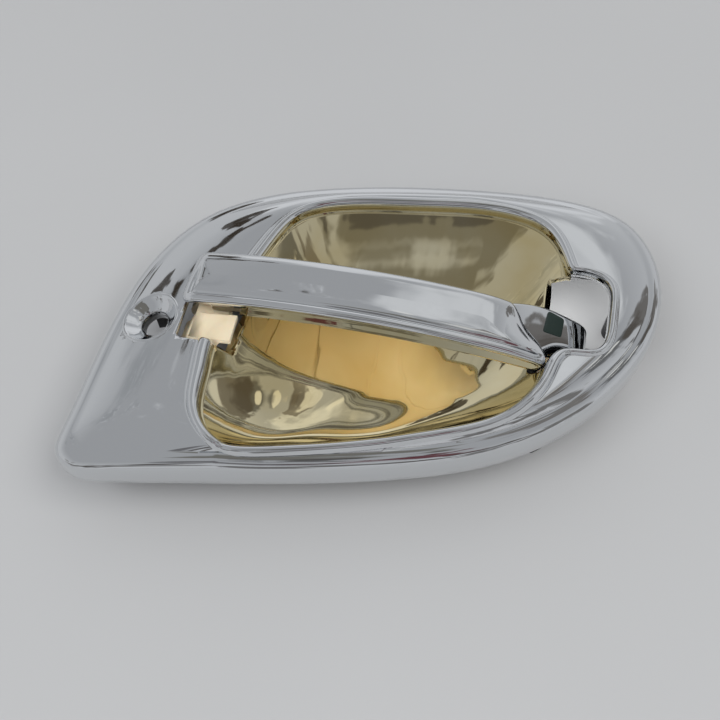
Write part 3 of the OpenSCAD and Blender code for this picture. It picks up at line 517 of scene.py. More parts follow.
def buildBowl():
    flange, depth, wall = bowlSizes["flange"], bowlSizes["depth"], bowlSizes["wall"]
    rim = ring(rimPts, bowlSizes["perPoint"])
    n = len(rim)
    normal = outwardNormals(rim)
    for _ in range(20):
        normal = 0.5 * normal + 0.25 * (np.roll(normal, 1, 0) + np.roll(normal, -1, 0))
        normal /= np.linalg.norm(normal, axis=1)[:, None]
    flangeEdge = rim + normal * bowlSizes["flangeWidth"]
    rings = [np.column_stack([p, np.full(n, flange)]) for p in (flangeEdge, rim + normal * 0.5)]
    inner = 1 - np.linspace(0, 1, bowlSizes["steps"] + 1)[:-1] ** 1.25 * 0.985
    for share in inner:
        fall = flange - depth * bowlFall(rim, share)
        rings.append(np.column_stack([bowlMid + (rim - bowlMid) * share, fall]))
    for share in inner[::-4]:
        wide = share * (1 + 0.03 * share)
        low = flange - wall - depth * bowlFall(rim, share)
        rings.append(np.column_stack([bowlMid + (rim - bowlMid) * wide, low]))
    rings.append(np.column_stack([flangeEdge, np.full(n, flange - wall)]))
    m = len(rings)
    faces = []
    turn = 2 + len(inner) - 1  # the two walls meet at the closed middle, not in a band
    for j in range(m):
        if j != turn:
            faces += bandFaces(j, (j + 1) % m, n)
    faces.append([turn * n + k for k in range(n)])
    faces.append([(turn + 1) * n + k for k in range(n)][::-1])
    ob = newMesh("bowlMirror", np.concatenate(rings), faces)
    fixNormals(ob)
    return ob


bowlPiece = buildBowl()
bowlGaps = [
    # name, low corner, high corner, corner radius, from this height up
    ("hingeGap", (-72, -2.8), (-45, 34), 0.8, 30.4),
    ("legGap", (57.5, 9.5), (90, 39), 2.0, 24.4),
    ("windowGap", (61, 36), (90, 51), 1.5, 30.4),
]
for name, low, high, radius, bottom in bowlGaps:
    low, high = toFrame([low, high])
    cut(bowlPiece, roundedBox(name, low, high, radius, (bottom, 45)))
bowlPiece.data.materials.clear()
bowlPiece.data.materials.append(goldMirror)
bowlPiece.data.polygons.foreach_set("use_smooth", [True] * len(bowlPiece.data.polygons))
print("bowl made")

# strap
strapSizes = dict(middle=20.5, endTop=42.7, arch=6.5, deep=9.7, wall=1.8, overlapFrom=-56.0, overlapLow=40.1)


# height of the strap's crown along its length
def strapTop(x):
    return strapSizes["endTop"] + strapSizes["arch"] * (1 - ((x + 3) / 65) ** 2)


# the strap's plan
outline = [(-64.2, 31.7), (-66.2, 30.9), (-67.1, 28.6), (-67.3, 20), (-67.4, 12.6), (-66.8, 10.5),
           (-65.0, 9.4), (-60, 9.25), (-30, 9.2), (0, 9.2), (30, 9.2), (50, 9.2), (60.5, 9.25), (62.6, 10.2),
           (62.9, 12.4), (60.2, 17.5), (56.8, 22.2), (53.2, 26.6), (49.8, 30.4), (47.6, 31.6), (40, 31.8),
           (0, 31.8), (-40, 31.8), (-58, 31.8)]


# a closed loop of points walked at an even step
def denseLoop(pts, step):
    pts = np.array(pts + [pts[0]], float)
    seg = np.linalg.norm(np.diff(pts, axis=0), axis=1)
    at = np.concatenate([[0], np.cumsum(seg)])
    count = int(at[-1] / step)
    t = np.linspace(0, at[-1], count, endpoint=False)
    loop = np.stack([np.interp(t, at, pts[:, k]) for k in (0, 1)], 1)
    for _ in range(6):
        loop = 0.5 * loop + 0.25 * (np.roll(loop, 1, 0) + np.roll(loop, -1, 0))
    return loop


def smoothStep(a, b, x):
    t = np.clip((np.asarray(x, float) - a) / (b - a), 0, 1)
    return t * t * (3 - 2 * t)


# 1 along the front and the left end, 0 along the rear and the slanted right edge
def beadShare(p):
    x, y = p[:, 0], p[:, 1]
    rear, right = smoothStep(30.6, 28.6, y), smoothStep(62.0, 58.5, x)
    return rear * right * smoothStep(28.0, 16.0, y + 9.0 * smoothStep(54.0, 62.0, x))


# sections of the edge, distance in from the edge and height: a rolled bead, a plain round
beadCurve = [(0, -2.3), (0.25, -1.35), (0.75, -0.72), (1.4, -0.38), (2.1, -0.34), (2.8, -0.55), (3.25, -0.95),
             (3.5, -1.1), (3.8, -0.8), (4.3, -0.3), (5.0, -0.1), (6.5, 0.0), (9.0, 0.06), (11.5, 0.08)]
roundCurve = [(0, -3.2), (0.15, -2.3), (0.6, -1.45), (1.2, -0.9), (2.0, -0.5), (3.0, -0.24), (4.2, -0.08),
              (5.5, -0.02), (7.5, 0.03), (11.5, 0.08)]


coverInsets = [0, 0.25, 0.55, 0.9, 1.3, 1.75, 2.25, 2.75, 3.15, 3.45, 3.75, 4.15, 4.7, 5.6, 6.8, 8.2, 9.6]


def buildCover():
    loop = denseLoop(outline, 0.75)
    n = len(loop)
    normal = -outwardNormals(loop)
    area = np.sum(loop[:, 0] * np.roll(loop[:, 1], -1) - np.roll(loop[:, 0], -1) * loop[:, 1])
    if area > 0:
        normal = -normal
    for _ in range(8):
        normal = 0.5 * normal + 0.25 * (np.roll(normal, 1, 0) + np.roll(normal, -1, 0))
        normal /= np.linalg.norm(normal, axis=1)[:, None]
    # the normals point outwards, and the insets go towards the strap's spine
    spineX = np.clip(loop[:, 0], -58.5, 47.0)
    spineY = strapSizes["middle"] - 5.5 * smoothStep(38, 50, spineX)
    spine = np.stack([spineX, spineY], 1)
    share = beadShare(loop)
    slant = smoothStep(45.5, 49.5, loop[:, 0]) * smoothStep(11.0, 14.5, loop[:, 1])
    reach = np.linalg.norm(spine - loop, axis=1)

    def at(d):
        straight = loop - normal * d
        inward = loop + (spine - loop) * (d / np.maximum(reach, 9.7))[:, None]
        w = smoothStep(3.6, 8.0, d)
        return straight * (1 - w) + inward * w

    def height(p, d):
        bead = np.interp(d, *zip(*beadCurve))
        rounded = np.interp(d, *zip(*roundCurve))
        thin = rounded * 0.6
        z = strapTop(p[:, 0]) + bead * share + (rounded * (1 - slant) + thin * slant) * (1 - share)
        # the right end runs down to the leg
        gap = np.hypot((p[:, 0] - 56.5) / 8.5, (p[:, 1] - 25.5) / 8.0)
        z -= 4.2 * np.exp(-gap**2) + 0.9 * smoothStep(50, 63, p[:, 0])
        # chamfer of the left end
        z -= 1.1 * smoothStep(-62.0, -67.0, p[:, 0])
        return z

    sideLow = strapTop(loop[:, 0]) - strapSizes["deep"]
    low = np.where(loop[:, 0] < strapSizes["overlapFrom"], strapSizes["overlapLow"], sideLow)
    low = low * (1 - slant) + (height(loop, 0) - 1.6) * slant
    rings = []

    def add(p, z):
        rings.append(np.column_stack([p, z]))

    edgeZ = height(loop, 0)
    sideIn, rimRound = 0.9, 0.3  # the side wall stands in under the bead
    inner = loop - normal * (sideIn + strapSizes["wall"])
    add(inner, low)
    add(loop - normal * (sideIn + 0.25), low)
    add(loop - normal * sideIn, low + rimRound)
    under = edgeZ - 1.4
    for t in (0.33, 0.66, 1):
        z = np.maximum(low + rimRound, low + rimRound + (under - low - rimRound) * t)
        add(loop - normal * sideIn * (1 - t * (1 - share))[:, None], np.minimum(z, edgeZ - 0.25))
    add(loop - normal * 0.35 * share[:, None], np.minimum(np.maximum(edgeZ - 0.75, low + 0.35), edgeZ - 0.15))
    for d in coverInsets:
        p = at(d)
        add(p, height(p, d))
    m = len(rings)
    verts = [tuple(v) for v in np.concatenate(rings)]
    faces = []
    for j in range(m - 1):
        faces += bandFaces(j, j + 1, n)
    def crown(k):
        return float(height(spine[k:k + 1], 11.5)[0])

    def ceiling(k):
        return max(float(low[k]), float(height(inner[k:k + 1], 2.7)[0]) - strapSizes["wall"] - 0.8)

    # the last ring closes over the spine
    top = len(verts)
    verts += [(*spine[k], crown(k)) for k in range(n)]
    faces += [((m - 1) * n + k, (m - 1) * n + (k + 1) % n, top + (k + 1) % n, top + k) for k in range(n)]
    # underside, the same spine a wall's thickness down
    below = len(verts)
    verts += [(*spine[k], crown(k) - strapSizes["wall"]) for k in range(n)]
    side = len(verts)
    verts += [(*inner[k], ceiling(k)) for k in range(n)]
    faces += [(below + k, below + (k + 1) % n, side + (k + 1) % n, side + k) for k in range(n)]
    faces += [(side + k, side + (k + 1) % n, (k + 1) % n, k) for k in range(n)]
    verts = [tuple([*toFrame([v[:2]])[0], v[2]]) for v in verts]
    ob = newMesh("strapShell", verts, faces)
    fixNormals(ob)
    return ob


legStations = [
    # top x, top z, inner x, inner z, y low, y high
    (44, 42.5, 44, 35.5, 12.0, 31.0),
    (50, 41.2, 50, 34.0, 12.5, 33.0),
    (55, 39.2, 55, 32.7, 13.6, 34.8),
    (60, 36.8, 60.5, 30.7, 16.0, 36.2),
    (65, 34.7, 64.5, 28.6, 20.4, 36.5),
    (69.5, 32.6, 67.5, 26.8, 22.2, 36.5),
    (73.2, 30.7, 69.0, 25.4, 22.5, 36.5),
    (75.8, 29.0, 69.6, 23.6, 22.5, 36.5),
    (77.6, 26.6, 69.7, 21.4, 22.5, 36.5),
    (78.3, 23.4, 69.7, 19.0, 22.5, 36.5),
    (78.4, 18.5, 69.7, 16.5, 22.5, 36.5),
    (78.4, 13.0, 69.7, 13.0, 22.5, 36.5),
]


# the leg as sections on a smooth curve through the stations
def buildLeg(radius=2.0, innerRadius=1.0):
    table = np.array(legStations, float)
    rows = []
    spans = len(table) - 1
    for u in np.linspace(0, spans - 1e-9, spans * 4 + 1):
        i = int(u)
        t = u - i
        pick = [table[max(i - 1, 0)], table[i], table[i + 1], table[min(i + 2, spans)]]
        w = np.array([-t**3 + 2 * t**2 - t, 3 * t**3 - 5 * t**2 + 2, -3 * t**3 + 4 * t**2 + t,
                      t**3 - t**2]) / 2
        rows.append(sum(w[k] * pick[k] for k in range(4)))
    verts = []
    for xt, zt, xi, zi, y0, y1 in rows:
        top, bottom = np.array([xt, zt]), np.array([xi, zi])
        down = bottom - top
        thick = np.linalg.norm(down)
        down /= thick
        width = y1 - y0
        pts = []
        innerY = thick - innerRadius
        for cx, cy, start in ((width - radius, radius, -90), (width - radius, innerY, 0),
                              (innerRadius, innerY, 90), (radius, radius, 180)):
            small = radius if cy == radius else innerRadius
            for turn in (0, 22.5, 45, 67.5, 90):
                a = math.radians(start + turn)
                pts.append((cx + small * math.cos(a), cy + small * math.sin(a)))
        section = len(pts)
        for py, pd in pts:
            xz = top + down * pd
            verts.append((*toFrame([(xz[0], y0 + py)])[0], xz[1]))
    count = len(rows)
    faces = []
    for j in range(count - 1):
        faces += bandFaces(j, j + 1, section)
    faces.append(tuple(range(section)))
    faces.append(tuple((count - 1) * section + k for k in range(section))[::-1])
    ob = newMesh("legShell", verts, faces)
    fixNormals(ob)
    return ob


strapShell = buildCover()
legShell = buildLeg()
for ob in (strapShell, legShell):
    ob.data.materials.append(chrome)
coverPiece = joined("strapChrome", [strapShell, legShell])
coverPiece.data.polygons.foreach_set("use_smooth", [True] * len(coverPiece.data.polygons))
print("strap made")


# an empty geometry tree whose inputs are the named sizes and a finish
def newTree(name, sizes):
    tree = bpy.data.node_groups.new(name, "GeometryNodeTree")
    tree.interface.new_socket("Geometry", in_out="INPUT", socket_type="NodeSocketGeometry")
    for label in sizes:
        tree.interface.new_socket(label, in_out="INPUT", socket_type="NodeSocketFloat")
    tree.interface.new_socket("Finish", in_out="INPUT", socket_type="NodeSocketMaterial")
    tree.interface.new_socket("Geometry", in_out="OUTPUT", socket_type="NodeSocketGeometry")
    return tree, tree.nodes.new("NodeGroupInput"), tree.nodes.new("NodeGroupOutput")


# what a tree makes at each place, as a plain mesh
def grown(name, places, tree, sizes, finish):
    ob = newMesh(name, places, [], smooth=False)
    grow = ob.modifiers.new("grow", "NODES")
    grow.node_group = tree
    values = {**{k: v * mm for k, v in sizes.items()}, "Finish": finish}
    for item in tree.interface.items_tree:
        if item.in_out == "INPUT" and item.name in values:
            grow[item.identifier] = values[item.name]
    applied(ob)
    ob.data.set_sharp_from_angle(angle=math.radians(35))
    print(name, len(ob.data.polygons), "faces")
    return ob


screwSides = dict(head=28, shank=20)


# puts the part at every given point, makes it real and gives it its finish
def scatter(tree, given, result, part):
    add, link = tree.nodes.new, tree.links.new
    every = add("GeometryNodeInstanceOnPoints")
    link(given.outputs["Geometry"], every.inputs["Points"])
    link(part, every.inputs["Instance"])
    real = add("GeometryNodeRealizeInstances")
    link(every.outputs["Instances"], real.inputs["Geometry"])
    paint = add("GeometryNodeSetMaterial")
    link(real.outputs["Geometry"], paint.inputs["Geometry"])
    link(given.outputs["Finish"], paint.inputs["Material"])
    link(paint.outputs["Geometry"], result.inputs["Geometry"])


# a pan-head screw with a cross recess, head down
def screwTree():
    labels = ("Head radius", "Head height", "Shank radius", "Shank length", "Pitch")
    tree, given, result = newTree("panScrew", labels)
    add, link = tree.nodes.new, tree.links.new

    def maths(kind, a, b):
        n = add("ShaderNodeMath")
        n.operation = kind
        for k, v in enumerate((a, b)):
            if isinstance(v, (int, float)):
                n.inputs[k].default_value = v
            else:
                link(v, n.inputs[k])
        return n.outputs[0]

    def upright(z):
        n = add("ShaderNodeCombineXYZ")
        link(z, n.inputs["Z"])
        return n.outputs[0]

    def moved(mesh, z):
        n = add("GeometryNodeTransform")
        link(mesh, n.inputs["Geometry"])
        link(upright(z), n.inputs["Translation"])
        return n.outputs[0]

    def cone(low, high, depth, sides):
        n = add("GeometryNodeMeshCone")
        n.inputs["Vertices"].default_value = sides
        link(low, n.inputs["Radius Bottom"])
        link(high, n.inputs["Radius Top"])
        link(depth, n.inputs["Depth"])
        return n.outputs["Mesh"]

    headR, headH, shankR, shankL, pitch = (given.outputs[k] for k in labels)
    sides = screwSides["head"]
    shoulderR, crownR = maths("MULTIPLY", headR, 0.88), maths("MULTIPLY", headR, 0.62)
    # the head hangs below the bearing face: a rim, a rounded shoulder and a crown
    head = add("GeometryNodeMeshBoolean")
    head.operation = "UNION"
    for low, high, share, drop in ((headR, headR, 0.5, 0.5), (shoulderR, headR, 0.3, 0.8),
                                   (crownR, shoulderR, 0.2, 1.0)):
        step = cone(low, high, maths("MULTIPLY", headH, share), sides)
        link(moved(step, maths("MULTIPLY", headH, -drop)), head.inputs["Mesh 2"])
    cross = add("GeometryNodeMeshBoolean")
    cross.operation = "DIFFERENCE"
    link(head.outputs["Mesh"], cross.inputs["Mesh 1"])
    for turn in (0, 1):
        bar = add("GeometryNodeMeshCube")
        size = add("ShaderNodeCombineXYZ")
        link(maths("MULTIPLY", headR, 0.26 if turn else 1.1), size.inputs["X"])
        link(maths("MULTIPLY", headR, 1.1 if turn else 0.26), size.inputs["Y"])
        link(maths("MULTIPLY", headH, 1.3), size.inputs["Z"])
        link(size.outputs[0], bar.inputs["Size"])
        link(moved(bar.outputs["Mesh"], maths("MULTIPLY", headH, -1.0)), cross.inputs["Mesh 2"])
    coreR = maths("MULTIPLY", shankR, 0.86)
    core = cone(coreR, coreR, shankL, screwSides["shank"])
    # thread, as a stack of tapered turns
    line = add("GeometryNodeMeshLine")
    count = add("FunctionNodeFloatToInt")
    link(maths("DIVIDE", shankL, pitch), count.inputs[0])
    link(count.outputs[0], line.inputs["Count"])
    link(upright(pitch), line.inputs["Offset"])
    turns = add("GeometryNodeInstanceOnPoints")
    link(line.outputs["Mesh"], turns.inputs["Points"])
    turnTop, turnHeight = maths("MULTIPLY", shankR, 0.84), maths("MULTIPLY", pitch, 0.9)
    link(cone(shankR, turnTop, turnHeight, screwSides["shank"]), turns.inputs["Instance"])
    one = add("GeometryNodeJoinGeometry")
    for part in (cross.outputs["Mesh"], core, turns.outputs["Instances"]):
        link(part, one.inputs["Geometry"])
    scatter(tree, given, result, one.outputs["Geometry"])
    return tree


# a plain bar across the strap
def ribTree():
    tree, given, result = newTree("crossRibs", ("Rib length", "Rib width", "Rib height"))
    add, link = tree.nodes.new, tree.links.new
    size = add("ShaderNodeCombineXYZ")
    link(given.outputs["Rib width"], size.inputs["X"])
    link(given.outputs["Rib length"], size.inputs["Y"])
    link(given.outputs["Rib height"], size.inputs["Z"])
    bar = add("GeometryNodeMeshCube")
    link(size.outputs[0], bar.inputs["Size"])
    scatter(tree, given, result, bar.outputs["Mesh"])
    return tree


plateScrew = {"Head radius": 3.1, "Head height": 2.2, "Shank radius": 1.75, "Shank length": 7.5, "Pitch": 0.75}
smallScrew = {"Head radius": 2.0, "Head height": 1.5, "Shank radius": 1.2, "Shank length": 4.0, "Pitch": 0.5}
coverScrew = {**smallScrew, "Shank length": 6.0}
plateScrewPlan = [(-66, -39), (-82, -18), (-76, 28), (-42, 60), (77, 75), (90.5, 40)]
bowlScrewSteps = np.array([1.7, 9.8, 23.4, 26.4])  # along the lip's curve


# height of the face that the heads bear on
def seat(node, sizes):
    return float(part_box(node)[0][2]) / mm + sizes["Head height"]


pan = screwTree()
plateSeat, bowlSeat = seat("escutcheon_screws", plateScrew), seat("bowl_screws", smallScrew)
platePlaces = [(*p, plateSeat) for p in toFrame(plateScrewPlan)]
plateScrews = grown("escutcheonScrews", platePlaces, pan, plateScrew, darkSteel)
lipInner, lipOuter = spline(mouthPts, bowlScrewSteps), spline(groovePts, bowlScrewSteps)
lipWay = (lipOuter - lipInner) / np.linalg.norm(lipOuter - lipInner, axis=1)[:, None]
bowlScrews = grown("bowlScrews", [(*p, bowlSeat) for p in lipInner + lipWay * 4.5], pan, smallScrew, darkSteel)


# a place on the strap's middle line, above its lower edge
def underStrapAt(x, above):
    return (*toFrame([(x, strapSizes["middle"])])[0], strapTop(x) - strapSizes["deep"] + above)


coverScrews = grown("strapScrews", [underStrapAt(x, 1.6) for x in (-36, 34)], pan, coverScrew, darkSteel)
ribSizes = {"Rib length": 17.6, "Rib width": 0.7, "Rib height": 0.7}
ribPlaces = [underStrapAt(x, 0.1) for x in np.arange(-44, 47, 11.25)]
undersideRibs = grown("undersideRibs", ribPlaces, ribTree(), ribSizes, tanPlastic)
print("screws and ribs grown")


padCorners = [(60.9, 25.2), (67.8, 25.8), (68.4, 34.0), (62.0, 34.6)]


# a rubber patch with rounded corners that lies on the leg's slope
def buildPad():
    loop = denseLoop(padCorners, 0.4)
    centre = loop.mean(0)
    topX, topZ = [station[0] for station in legStations[:8]], [station[1] for station in legStations[:8]]
    rings = []
    for shrink, lift in ((1.0, -0.6), (1.0, 0.12), (0.97, 0.3), (0.9, 0.36), (0.6, 0.38), (0.3, 0.38)):
        p = centre + (loop - centre) * shrink
        rings.append(np.column_stack([toFrame(p), np.interp(p[:, 0], topX, topZ) + lift]))
    n = len(loop)
    faces = []
    for j in range(len(rings) - 1):
        faces += bandFaces(j, j + 1, n)
    faces.append(tuple((len(rings) - 1) * n + k for k in range(n)))
    faces.append(tuple(range(n))[::-1])
    ob = newMesh("legPadRubber", np.concatenate(rings), faces)
    fixNormals(ob)
    ob.data.materials.append(padRubber)
    return ob


padPiece = buildPad()


# a merged copy of a frame node, with softened edges
def dressed(node, name, mat, bevel, endPlay):
    mesh = frame["nodes"][node].data.copy()
    ob = bpy.data.objects.new(name, mesh)
    bpy.context.scene.collection.objects.link(ob)
    bm = bmesh.new()
    bm.from_mesh(mesh)
    bmesh.ops.remove_doubles(bm, verts=bm.verts, dist=2e-6)
    bmesh.ops.dissolve_degenerate(bm, dist=1e-6, edges=bm.edges)
    bmesh.ops.dissolve_limit(bm, angle_limit=math.radians(1.0), verts=bm.verts, edges=bm.edges)
    bm.to_mesh(mesh)
    bm.free()
    if bevel:
        soft = ob.modifiers.new("soft", "BEVEL")
        soft.width = bevel * mm
        soft.segments = 2
        soft.limit_method = "ANGLE"
        soft.angle_limit = math.radians(35)
        applied(ob)
    if endPlay:
        xs = [v.co.x for v in ob.data.vertices]
        middle, half = (min(xs) + max(xs)) / 2, (max(xs) - min(xs)) / 2
        for v in ob.data.vertices:
            v.co.x = middle + (v.co.x - middle) * (1 - endPlay * mm / half)
    ob.data.materials.clear()
    ob.data.materials.append(mat)
    ob.data.polygons.foreach_set("use_smooth", [True] * len(ob.data.polygons))
    ob.data.set_sharp_from_angle(angle=math.radians(40))
    return ob


dressedPieces = [
    # node, name, body, slot, material, bevel
    ("handle_inner_shell", "strapInnerTan", "handle", "tan_abs", tanPlastic, 0.35),
    ("chassis", "chassisBlack", "chassis", "black_nylon", blackNylon, 0.25),
    ("door_gasket", "gasketRubber", "chassis", "black_rubber", rubber, 0.3),
    ("pivot_pin", "pivotPinSteel", "chassis", "bright_steel", brightSteel, 0.2),
    ("pivot_clip", "pivotClipSteel", "chassis", "dark_zinc_steel", darkSteel, 0.08),
    ("pivot_bushes", "pivotBushesAcetal", "handle", "white_acetal", whiteAcetal, 0.15),
    ("bump_stops", "bumpStopRubber", "chassis", "black_rubber", rubber, 0.25),
    ("bellcrank", "bellcrankSteel", "bellcrank", "dark_zinc_steel", darkSteel, 0.2),
    ("counterweight", "counterweightSteel", "bellcrank", "bright_steel", brightSteel, 0.15),
    ("crank_pin", "crankPinSteel", "chassis", "bright_steel", brightSteel, 0.15),
    ("crank_clip", "crankClipSteel", "chassis", "dark_zinc_steel", darkSteel, 0.08),
    ("rod_clip", "rodClipAcetal", "rod_clip", "white_acetal", whiteAcetal, 0.25),
    ("threaded_inserts", "insertsBrass", "chassis", "brass_insert", brass, 0.15),
]
riding = []
for node, name, body, slotName, mat, bevel in dressedPieces:
    endPlay = 0.12 if node == "counterweight" else 0.0  # its ends clear the walls of the slot
    riding.append((dressed(node, name, mat, bevel, endPlay), body, slotName, [node]))
print("frame pieces dressed")
riding += [(escutcheonPiece, "chassis", "chrome_plate", ["escutcheon"]),
           (bowlPiece, "chassis", "tinted_mirror", ["bowl"]),
           (coverPiece, "handle", "chrome_plate", ["handle_cover"]),
           (padPiece, "handle", "black_rubber", ["leg_pad"]),
           (plateScrews, "chassis", "dark_zinc_steel", ["escutcheon_screws"]),
           (bowlScrews, "chassis", "dark_zinc_steel", ["bowl_screws"]),
           (coverScrews, "handle", "dark_zinc_steel", ["handle_cover_screws"]),
           (undersideRibs, "handle", "tan_abs", [])]
for node, mat in (("return_spring", brightSteel), ("crank_spring", brightSteel)):
    ob = frame["nodes"][node]
    ob.data.materials.clear()
    ob.data.materials.append(mat)

# the table
floorMat = material("paleTable", (0.52, 0.525, 0.53), 0.0, 0.55)
noiseInto(floorMat, "Base Color", 2.2, (0.5, 0.505, 0.51), (0.54, 0.545, 0.55), colour=True)
half = 4000
corners = [(-half, -half, 0), (half, -half, 0), (half, half, 0), (-half, half, 0)]
floor = newMesh("floor", corners, [(0, 1, 2, 3)])
floor.data.materials.append(floorMat)

# what surrounds the part, and is mirrored in it
world = bpy.data.worlds.new("studio")
bpy.context.scene.world = world
world.use_nodes = True
wn, wl = world.node_tree.nodes, world.node_tree.links
background = wn["Background"]
background.inputs["Strength"].default_value = 0.9
coord = wn.new("ShaderNodeTexCoord")
waves = wn.new("ShaderNodeTexNoise")
waves.inputs["Scale"].default_value = 4.5
waves.inputs["Detail"].default_value = 3.0
wl.new(coord.outputs["Generated"], waves.inputs["Vector"])
waveShift = wn.new("ShaderNodeVectorMath")
waveShift.operation = "MULTIPLY_ADD"
waveSize = 0.22
waveShift.inputs[1].default_value = [waveSize] * 3
waveShift.inputs[2].default_value = [-waveSize / 2] * 3
wl.new(waves.outputs["Color"], waveShift.inputs[0])
wavy = wn.new("ShaderNodeVectorMath")  # directions with soft uneven outlines
wavy.operation = "ADD"
wl.new(coord.outputs["Generated"], wavy.inputs[0])
wl.new(waveShift.outputs["Vector"], wavy.inputs[1])


# mixes a soft round patch of colour into the world, towards one direction
def worldPatch(under, towards, inner, outer, colour, strength=1.0):
    v = Vector(towards).normalized()
    dot = wn.new("ShaderNodeVectorMath")
    dot.operation = "DOT_PRODUCT"
    dot.inputs[1].default_value = v
    wl.new(wavy.outputs["Vector"], dot.inputs[0])
    span = wn.new("ShaderNodeMapRange")
    span.interpolation_type = "SMOOTHSTEP"
    span.inputs["From Min"].default_value = math.cos(math.radians(outer))
    span.inputs["From Max"].default_value = math.cos(math.radians(inner))
    span.inputs["To Min"].default_value = 0
    if isinstance(strength, (int, float)):
        span.inputs["To Max"].default_value = strength
    else:
        wl.new(strength, span.inputs["To Max"])
    wl.new(dot.outputs["Value"], span.inputs["Value"])
    mix = wn.new("ShaderNodeMix")
    mix.data_type = "RGBA"
    wl.new(span.outputs["Result"], mix.inputs[0])
    wl.new(under, mix.inputs[6])
    mix.inputs[7].default_value = (*colour, 1)
    return mix.outputs[2]


split = wn.new("ShaderNodeSeparateXYZ")
wl.new(coord.outputs["Generated"], split.inputs["Vector"])
sky = wn.new("ShaderNodeValToRGB")
wall, ceiling = (0.66, 0.665, 0.68, 1), (0.46, 0.47, 0.485, 1)
sky.color_ramp.elements[0].color = wall
sky.color_ramp.elements[1].color = ceiling
sky.color_ramp.elements.new(0.35).color = (0.64, 0.65, 0.665, 1)
sky.color_ramp.elements.new(0.7).color = ceiling
wl.new(split.outputs["Z"], sky.inputs["Fac"])


# azimuth 0 is straight in front of the part, 90 at its right
def skyDirection(azimuth, elevation):
    a, e = math.radians(azimuth), math.radians(elevation)
    return (math.sin(a) * math.cos(e), -math.cos(a) * math.cos(e), math.sin(e))


room = [
    # azimuth, elevation, inner, outer, colour, strength
    (158, 52, 6, 20, (0.86, 0.87, 0.88), 0.85),  # window behind, at the right
    (188, 20, 8, 22, (0.92, 0.93, 0.95), 0.8),  # white wall behind
    (236, 40, 4, 16, (0.36, 0.375, 0.39), 0.7),  # grey curtain at the left
    (226, 46, 1.5, 3.5, (0.05, 0.04, 0.03), 0.95),  # stand behind, at the left
    (223, 37, 1.5, 4, (0.05, 0.04, 0.03), 0.95),
    (224, 30, 1.5, 4, (0.05, 0.04, 0.03), 0.9),
    (112, 40, 4, 14, (0.12, 0.12, 0.12), 0.85),  # dark furniture at the right
    (124, 27, 3, 12, (0.10, 0.085, 0.07), 0.8),
    (126, 50, 2, 7, (0.95, 0.94, 0.90), 0.85),  # lamps and their shades
    (138, 60, 3, 10, (0.11, 0.09, 0.07), 0.75),
    (150, 76, 3, 9, (0.95, 0.94, 0.90), 0.7),
    (95, 62, 4, 12, (0.14, 0.12, 0.10), 0.7),
    (10, 75, 6, 15, (0.17, 0.16, 0.135), 0.85),  # head and arms over the part
    (12, 60, 2, 7, (0.09, 0.085, 0.085), 0.8),  # hands
    (26, 42, 6, 12, (0.13, 0.025, 0.035), 0.9),  # red shirt
    (0, 40, 6, 13, (0.08, 0.07, 0.075), 0.7),
    (-40, 17, 8, 15, (0.12, 0.11, 0.10), 0.8),  # dim room in front
    (-14, 17, 8, 15, (0.10, 0.09, 0.085), 0.8),
    (12, 17, 8, 15, (0.09, 0.08, 0.075), 0.8),
    (38, 17, 8, 15, (0.10, 0.09, 0.085), 0.8),
    (64, 17, 8, 15, (0.12, 0.11, 0.10), 0.8),
]
surround = sky.outputs["Color"]
for azimuth, elevation, inner, outer, colour, strength in room:
    surround = worldPatch(surround, skyDirection(azimuth, elevation), inner, outer, colour, strength)

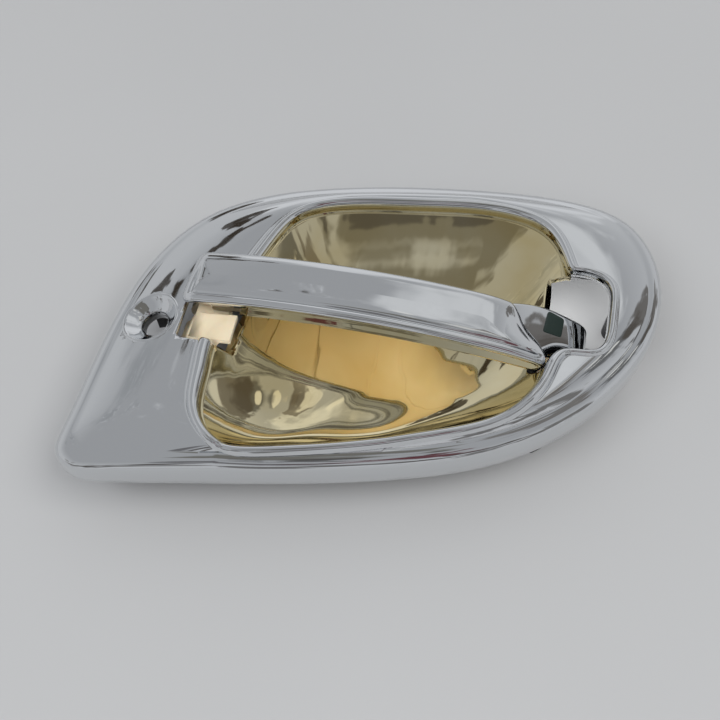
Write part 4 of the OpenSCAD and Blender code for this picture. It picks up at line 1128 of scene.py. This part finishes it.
# crumpled film beside the part, as fine light streaks
film = wn.new("ShaderNodeTexNoise")
film.inputs["Scale"].default_value = 16.0
film.inputs["Detail"].default_value = 6.0
film.inputs["Roughness"].default_value = 0.7
film.inputs["Distortion"].default_value = 2.2
wl.new(coord.outputs["Generated"], film.inputs["Vector"])
filmEdge = wn.new("ShaderNodeMapRange")
filmEdge.inputs["From Min"].default_value = 0.52
filmEdge.inputs["From Max"].default_value = 0.72
filmEdge.inputs["To Max"].default_value = 0.55
wl.new(film.outputs["Fac"], filmEdge.inputs["Value"])
filmColour = (0.97, 0.98, 1.0)
for azimuth, elevation, inner, outer in ((240, 44, 3, 13), (228, 56, 2, 9), (170, 64, 2, 10)):
    towards = skyDirection(azimuth, elevation)
    surround = worldPatch(surround, towards, inner, outer, filmColour, filmEdge.outputs["Result"])
wl.new(surround, background.inputs["Color"])


# a rectangle of light that shines on the part and shows in no reflection. Metres and watts
def softLight(name, at, size, power, colour):
    data = bpy.data.lights.new(name, "AREA")
    data.shape = "RECTANGLE"
    data.size, data.size_y = size
    data.energy = power
    data.color = colour
    ob = bpy.data.objects.new(name, data)
    ob.location = at
    ob.rotation_euler = (Vector((0, 0, 0.02)) - Vector(at)).to_track_quat("-Z", "Y").to_euler()
    bpy.context.scene.collection.objects.link(ob)
    ob.visible_camera = False
    ob.visible_glossy = False
    return ob


# name, place, size, power, colour
softLight("ceilingLeft", (-0.7, -0.9, 1.6), (1.4, 1.0), 15, (0.97, 0.98, 1.0))
softLight("ceilingRight", (0.9, -0.2, 1.6), (1.2, 0.9), 13, (1.0, 0.99, 0.97))

underStrap = softLight("underStrap", (-0.004, 0.0, 0.0175), (0.085, 0.018), 0.0105, (1.0, 0.98, 0.94))
underStrap.rotation_euler = (math.pi, 0, 0)  # shines up on the strap's underside

underWindow = softLight("underWindow", (0.067, 0.036, 0.019), (0.022, 0.03), 0.006, (1.0, 1.0, 1.0))
underWindow.rotation_euler = (0, 0, 0)  # shines down on the table below the window

camera = dict(azimuth=11.5, elevation=60.0, distance=300.0, target=(-3.57, -17.71, 38.0), lens=43.46,
              sensor=36, near=0.01, far=50)
lens = bpy.data.cameras.new("camera")
lens.sensor_width = camera["sensor"]
lens.lens = camera["lens"]
lens.clip_start, lens.clip_end = camera["near"], camera["far"]
cam = bpy.data.objects.new("camera", lens)
bpy.context.scene.collection.objects.link(cam)
target = Vector(camera["target"]) * mm
backward = Vector(skyDirection(camera["azimuth"], camera["elevation"]))
cam.location = target + backward * camera["distance"] * mm
cam.rotation_euler = (-backward).to_track_quat("-Z", "Y").to_euler()
bpy.context.scene.camera = cam
bpy.context.scene.view_settings.view_transform = "Standard"
print("stage set")

for ob, body, slotName, nodes in riding:
    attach(ob, body)
    if nodes:
        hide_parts(*nodes)
